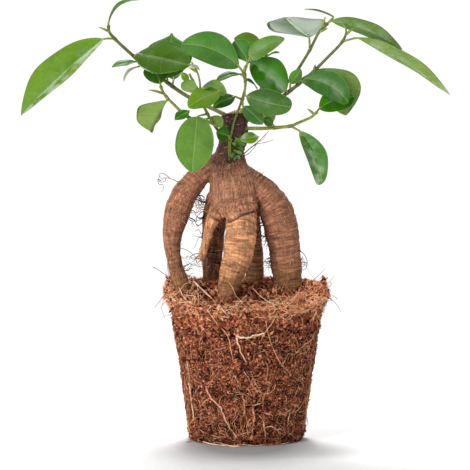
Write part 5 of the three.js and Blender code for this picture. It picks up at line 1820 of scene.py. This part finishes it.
draw = np.random.default_rng(71)
sprout = Heap()
for foot_spot, tip_spot, width, tint_name in SPROUT_SPOTS:
    foot, normal = seen_at(wood_tree, *foot_spot)
    tip, tip_normal = seen_at(wood_tree, *tip_spot)
    if foot is None or tip is None:
        continue
    rise = draw.uniform(1.5, 3.5)
    base = foot + normal * 0.9
    tip = tip + tip_normal * rise
    facing = normal + Vector((0, -0.4, 0.5)) + Vector(draw.normal(0, 0.3, 3))
    one = leaf(foot - normal * 0.4, base, tip, width * 0.75, facing, 22, 0.14, tint_name, wave=0.12)
    points, tops, bottoms, values = blade(one, draw, SPROUT_ROWS, SPROUT_COLUMNS)
    tint = np.array(TINTS[one["tint"]]) * SPROUT_TINTING
    sprout.add(points, tops, slot=UPPER_SIDE, leaf_tint=tint, leaf_place=values)
    sprout.more_faces(bottoms, UNDERSIDE)
    sprig = smooth_way([one["on"], one["base"], midrib(one, 0.2)], len(SPRIG_RADII))
    sprout.add(*tubes([sprig], SPRIG_RADII, SPRIG_SIDES), slot=STEM_PART, leaf_tint=TINTS["fresh"])
hits = [(seen_at(wood_tree, *spot), lift) for spot, lift in SPROUT_STALK]
stalk = smooth_way([hit + normal * lift for (hit, normal), lift in hits], SPROUT_STATIONS)
stalk_radii = np.linspace(0.8, 0.55, SPROUT_STATIONS)
sprout.add(*tubes([stalk], stalk_radii, STALK_SIDES), slot=STEM_PART, leaf_tint=TINTS["lit"])
sprout_piece = sprout.piece("fork_sprout", [leaf_upper, leaf_under, stem_finish])

spots = draw.normal(0, 0.45, (MOSS_COUNT, 2)) * np.array(MOSS_SPREAD) + np.array(MOSS_MIDDLE)
hits = [seen_at(wood_tree, *spot) for spot in spots]
hits = [(hit, normal) for hit, normal in hits if hit is not None and hit.y < 0]
centres, normals = (np.array(column) for column in zip(*hits))
moss = Heap()
sizes = draw.uniform(0.25, 0.6, (len(centres), 1)) * np.array([1.0, 0.8, 1.1])
shade = draw.random((len(centres), 1))
moss_tint = MOSS_DARK * (1 - shade) + MOSS_LIGHT * shade
points, faces = lumps_at(centres, normals, sizes, 0.5, draw)
moss.add(points, faces, leaf_tint=np.repeat(moss_tint, 6, axis=0))
moss_piece = moss.piece("fork_moss", [stem_finish], smooth=False)
print(len(SPROUT_SPOTS), "sprout leaves and", len(centres), "cushions of moss")

# %% [markdown]
# ## Pores and snags on the bark
# Pale corky pores stand a little proud of the bark, most of them on the left root and hardly any on the neck,
# and a few dead rootlets stick out like thorns. They are real lumps, because they break the outline.

# %% Dot the bark with pores and snags
PORE_COUNT = 620
PORE_TONES = [(0.35, paint(120, 84, 62)), (0.65, paint(200, 162, 130))]
PORE_SHAPE = np.array([1.5, 0.9, 0.6])
PORE_BOTTOM, PORE_TOP = 112, 233
LEFT_ROOT_LIKING, OTHER_LIKING, LESS_ON_NECK = 2.2, 0.8, 0.6
SNAG_COUNT = 90
SNAG_TAPER = np.array([[1.0, 0.7, 0.25]])
SNAG_SIDES = 5

draw = np.random.default_rng(81)
liking = np.where(on_limb(bark_place, "left_root"), LEFT_ROOT_LIKING, OTHER_LIKING) - LESS_ON_NECK * on_neck
liking = liking * (wood.points[:, 2] > PORE_BOTTOM) * (wood.points[:, 2] < PORE_TOP)
chosen = scattered(PORE_COUNT, liking, draw)
sizes = draw.uniform(0.22, 0.5, (PORE_COUNT, 1)) * PORE_SHAPE
pores_heap = Heap()
pores_heap.add(*lumps_at(wood.points[chosen], wood_normals[chosen], sizes, 0.15, draw))
chosen = scattered(SNAG_COUNT, liking, draw)
feet, outward = wood.points[chosen], wood_normals[chosen]
lean = unit(outward + draw.normal(0, 0.5, (SNAG_COUNT, 3)))
reach = draw.uniform(1.0, 3.2, (SNAG_COUNT, 1))
snag_ways = np.stack([feet - 0.4 * outward, feet + 0.5 * reach * outward, feet + reach * lean], axis=1)
snag_radii = draw.uniform(0.2, 0.4, (SNAG_COUNT, 1)) * SNAG_TAPER
pores_heap.add(*tubes(snag_ways, snag_radii, SNAG_SIDES))
pores_heap.piece("bark_pores", [two_tone("pore_cork", 0.85, 0.2, 260, 2, *PORE_TONES)])
print(PORE_COUNT, "pores and", SNAG_COUNT, "snags")
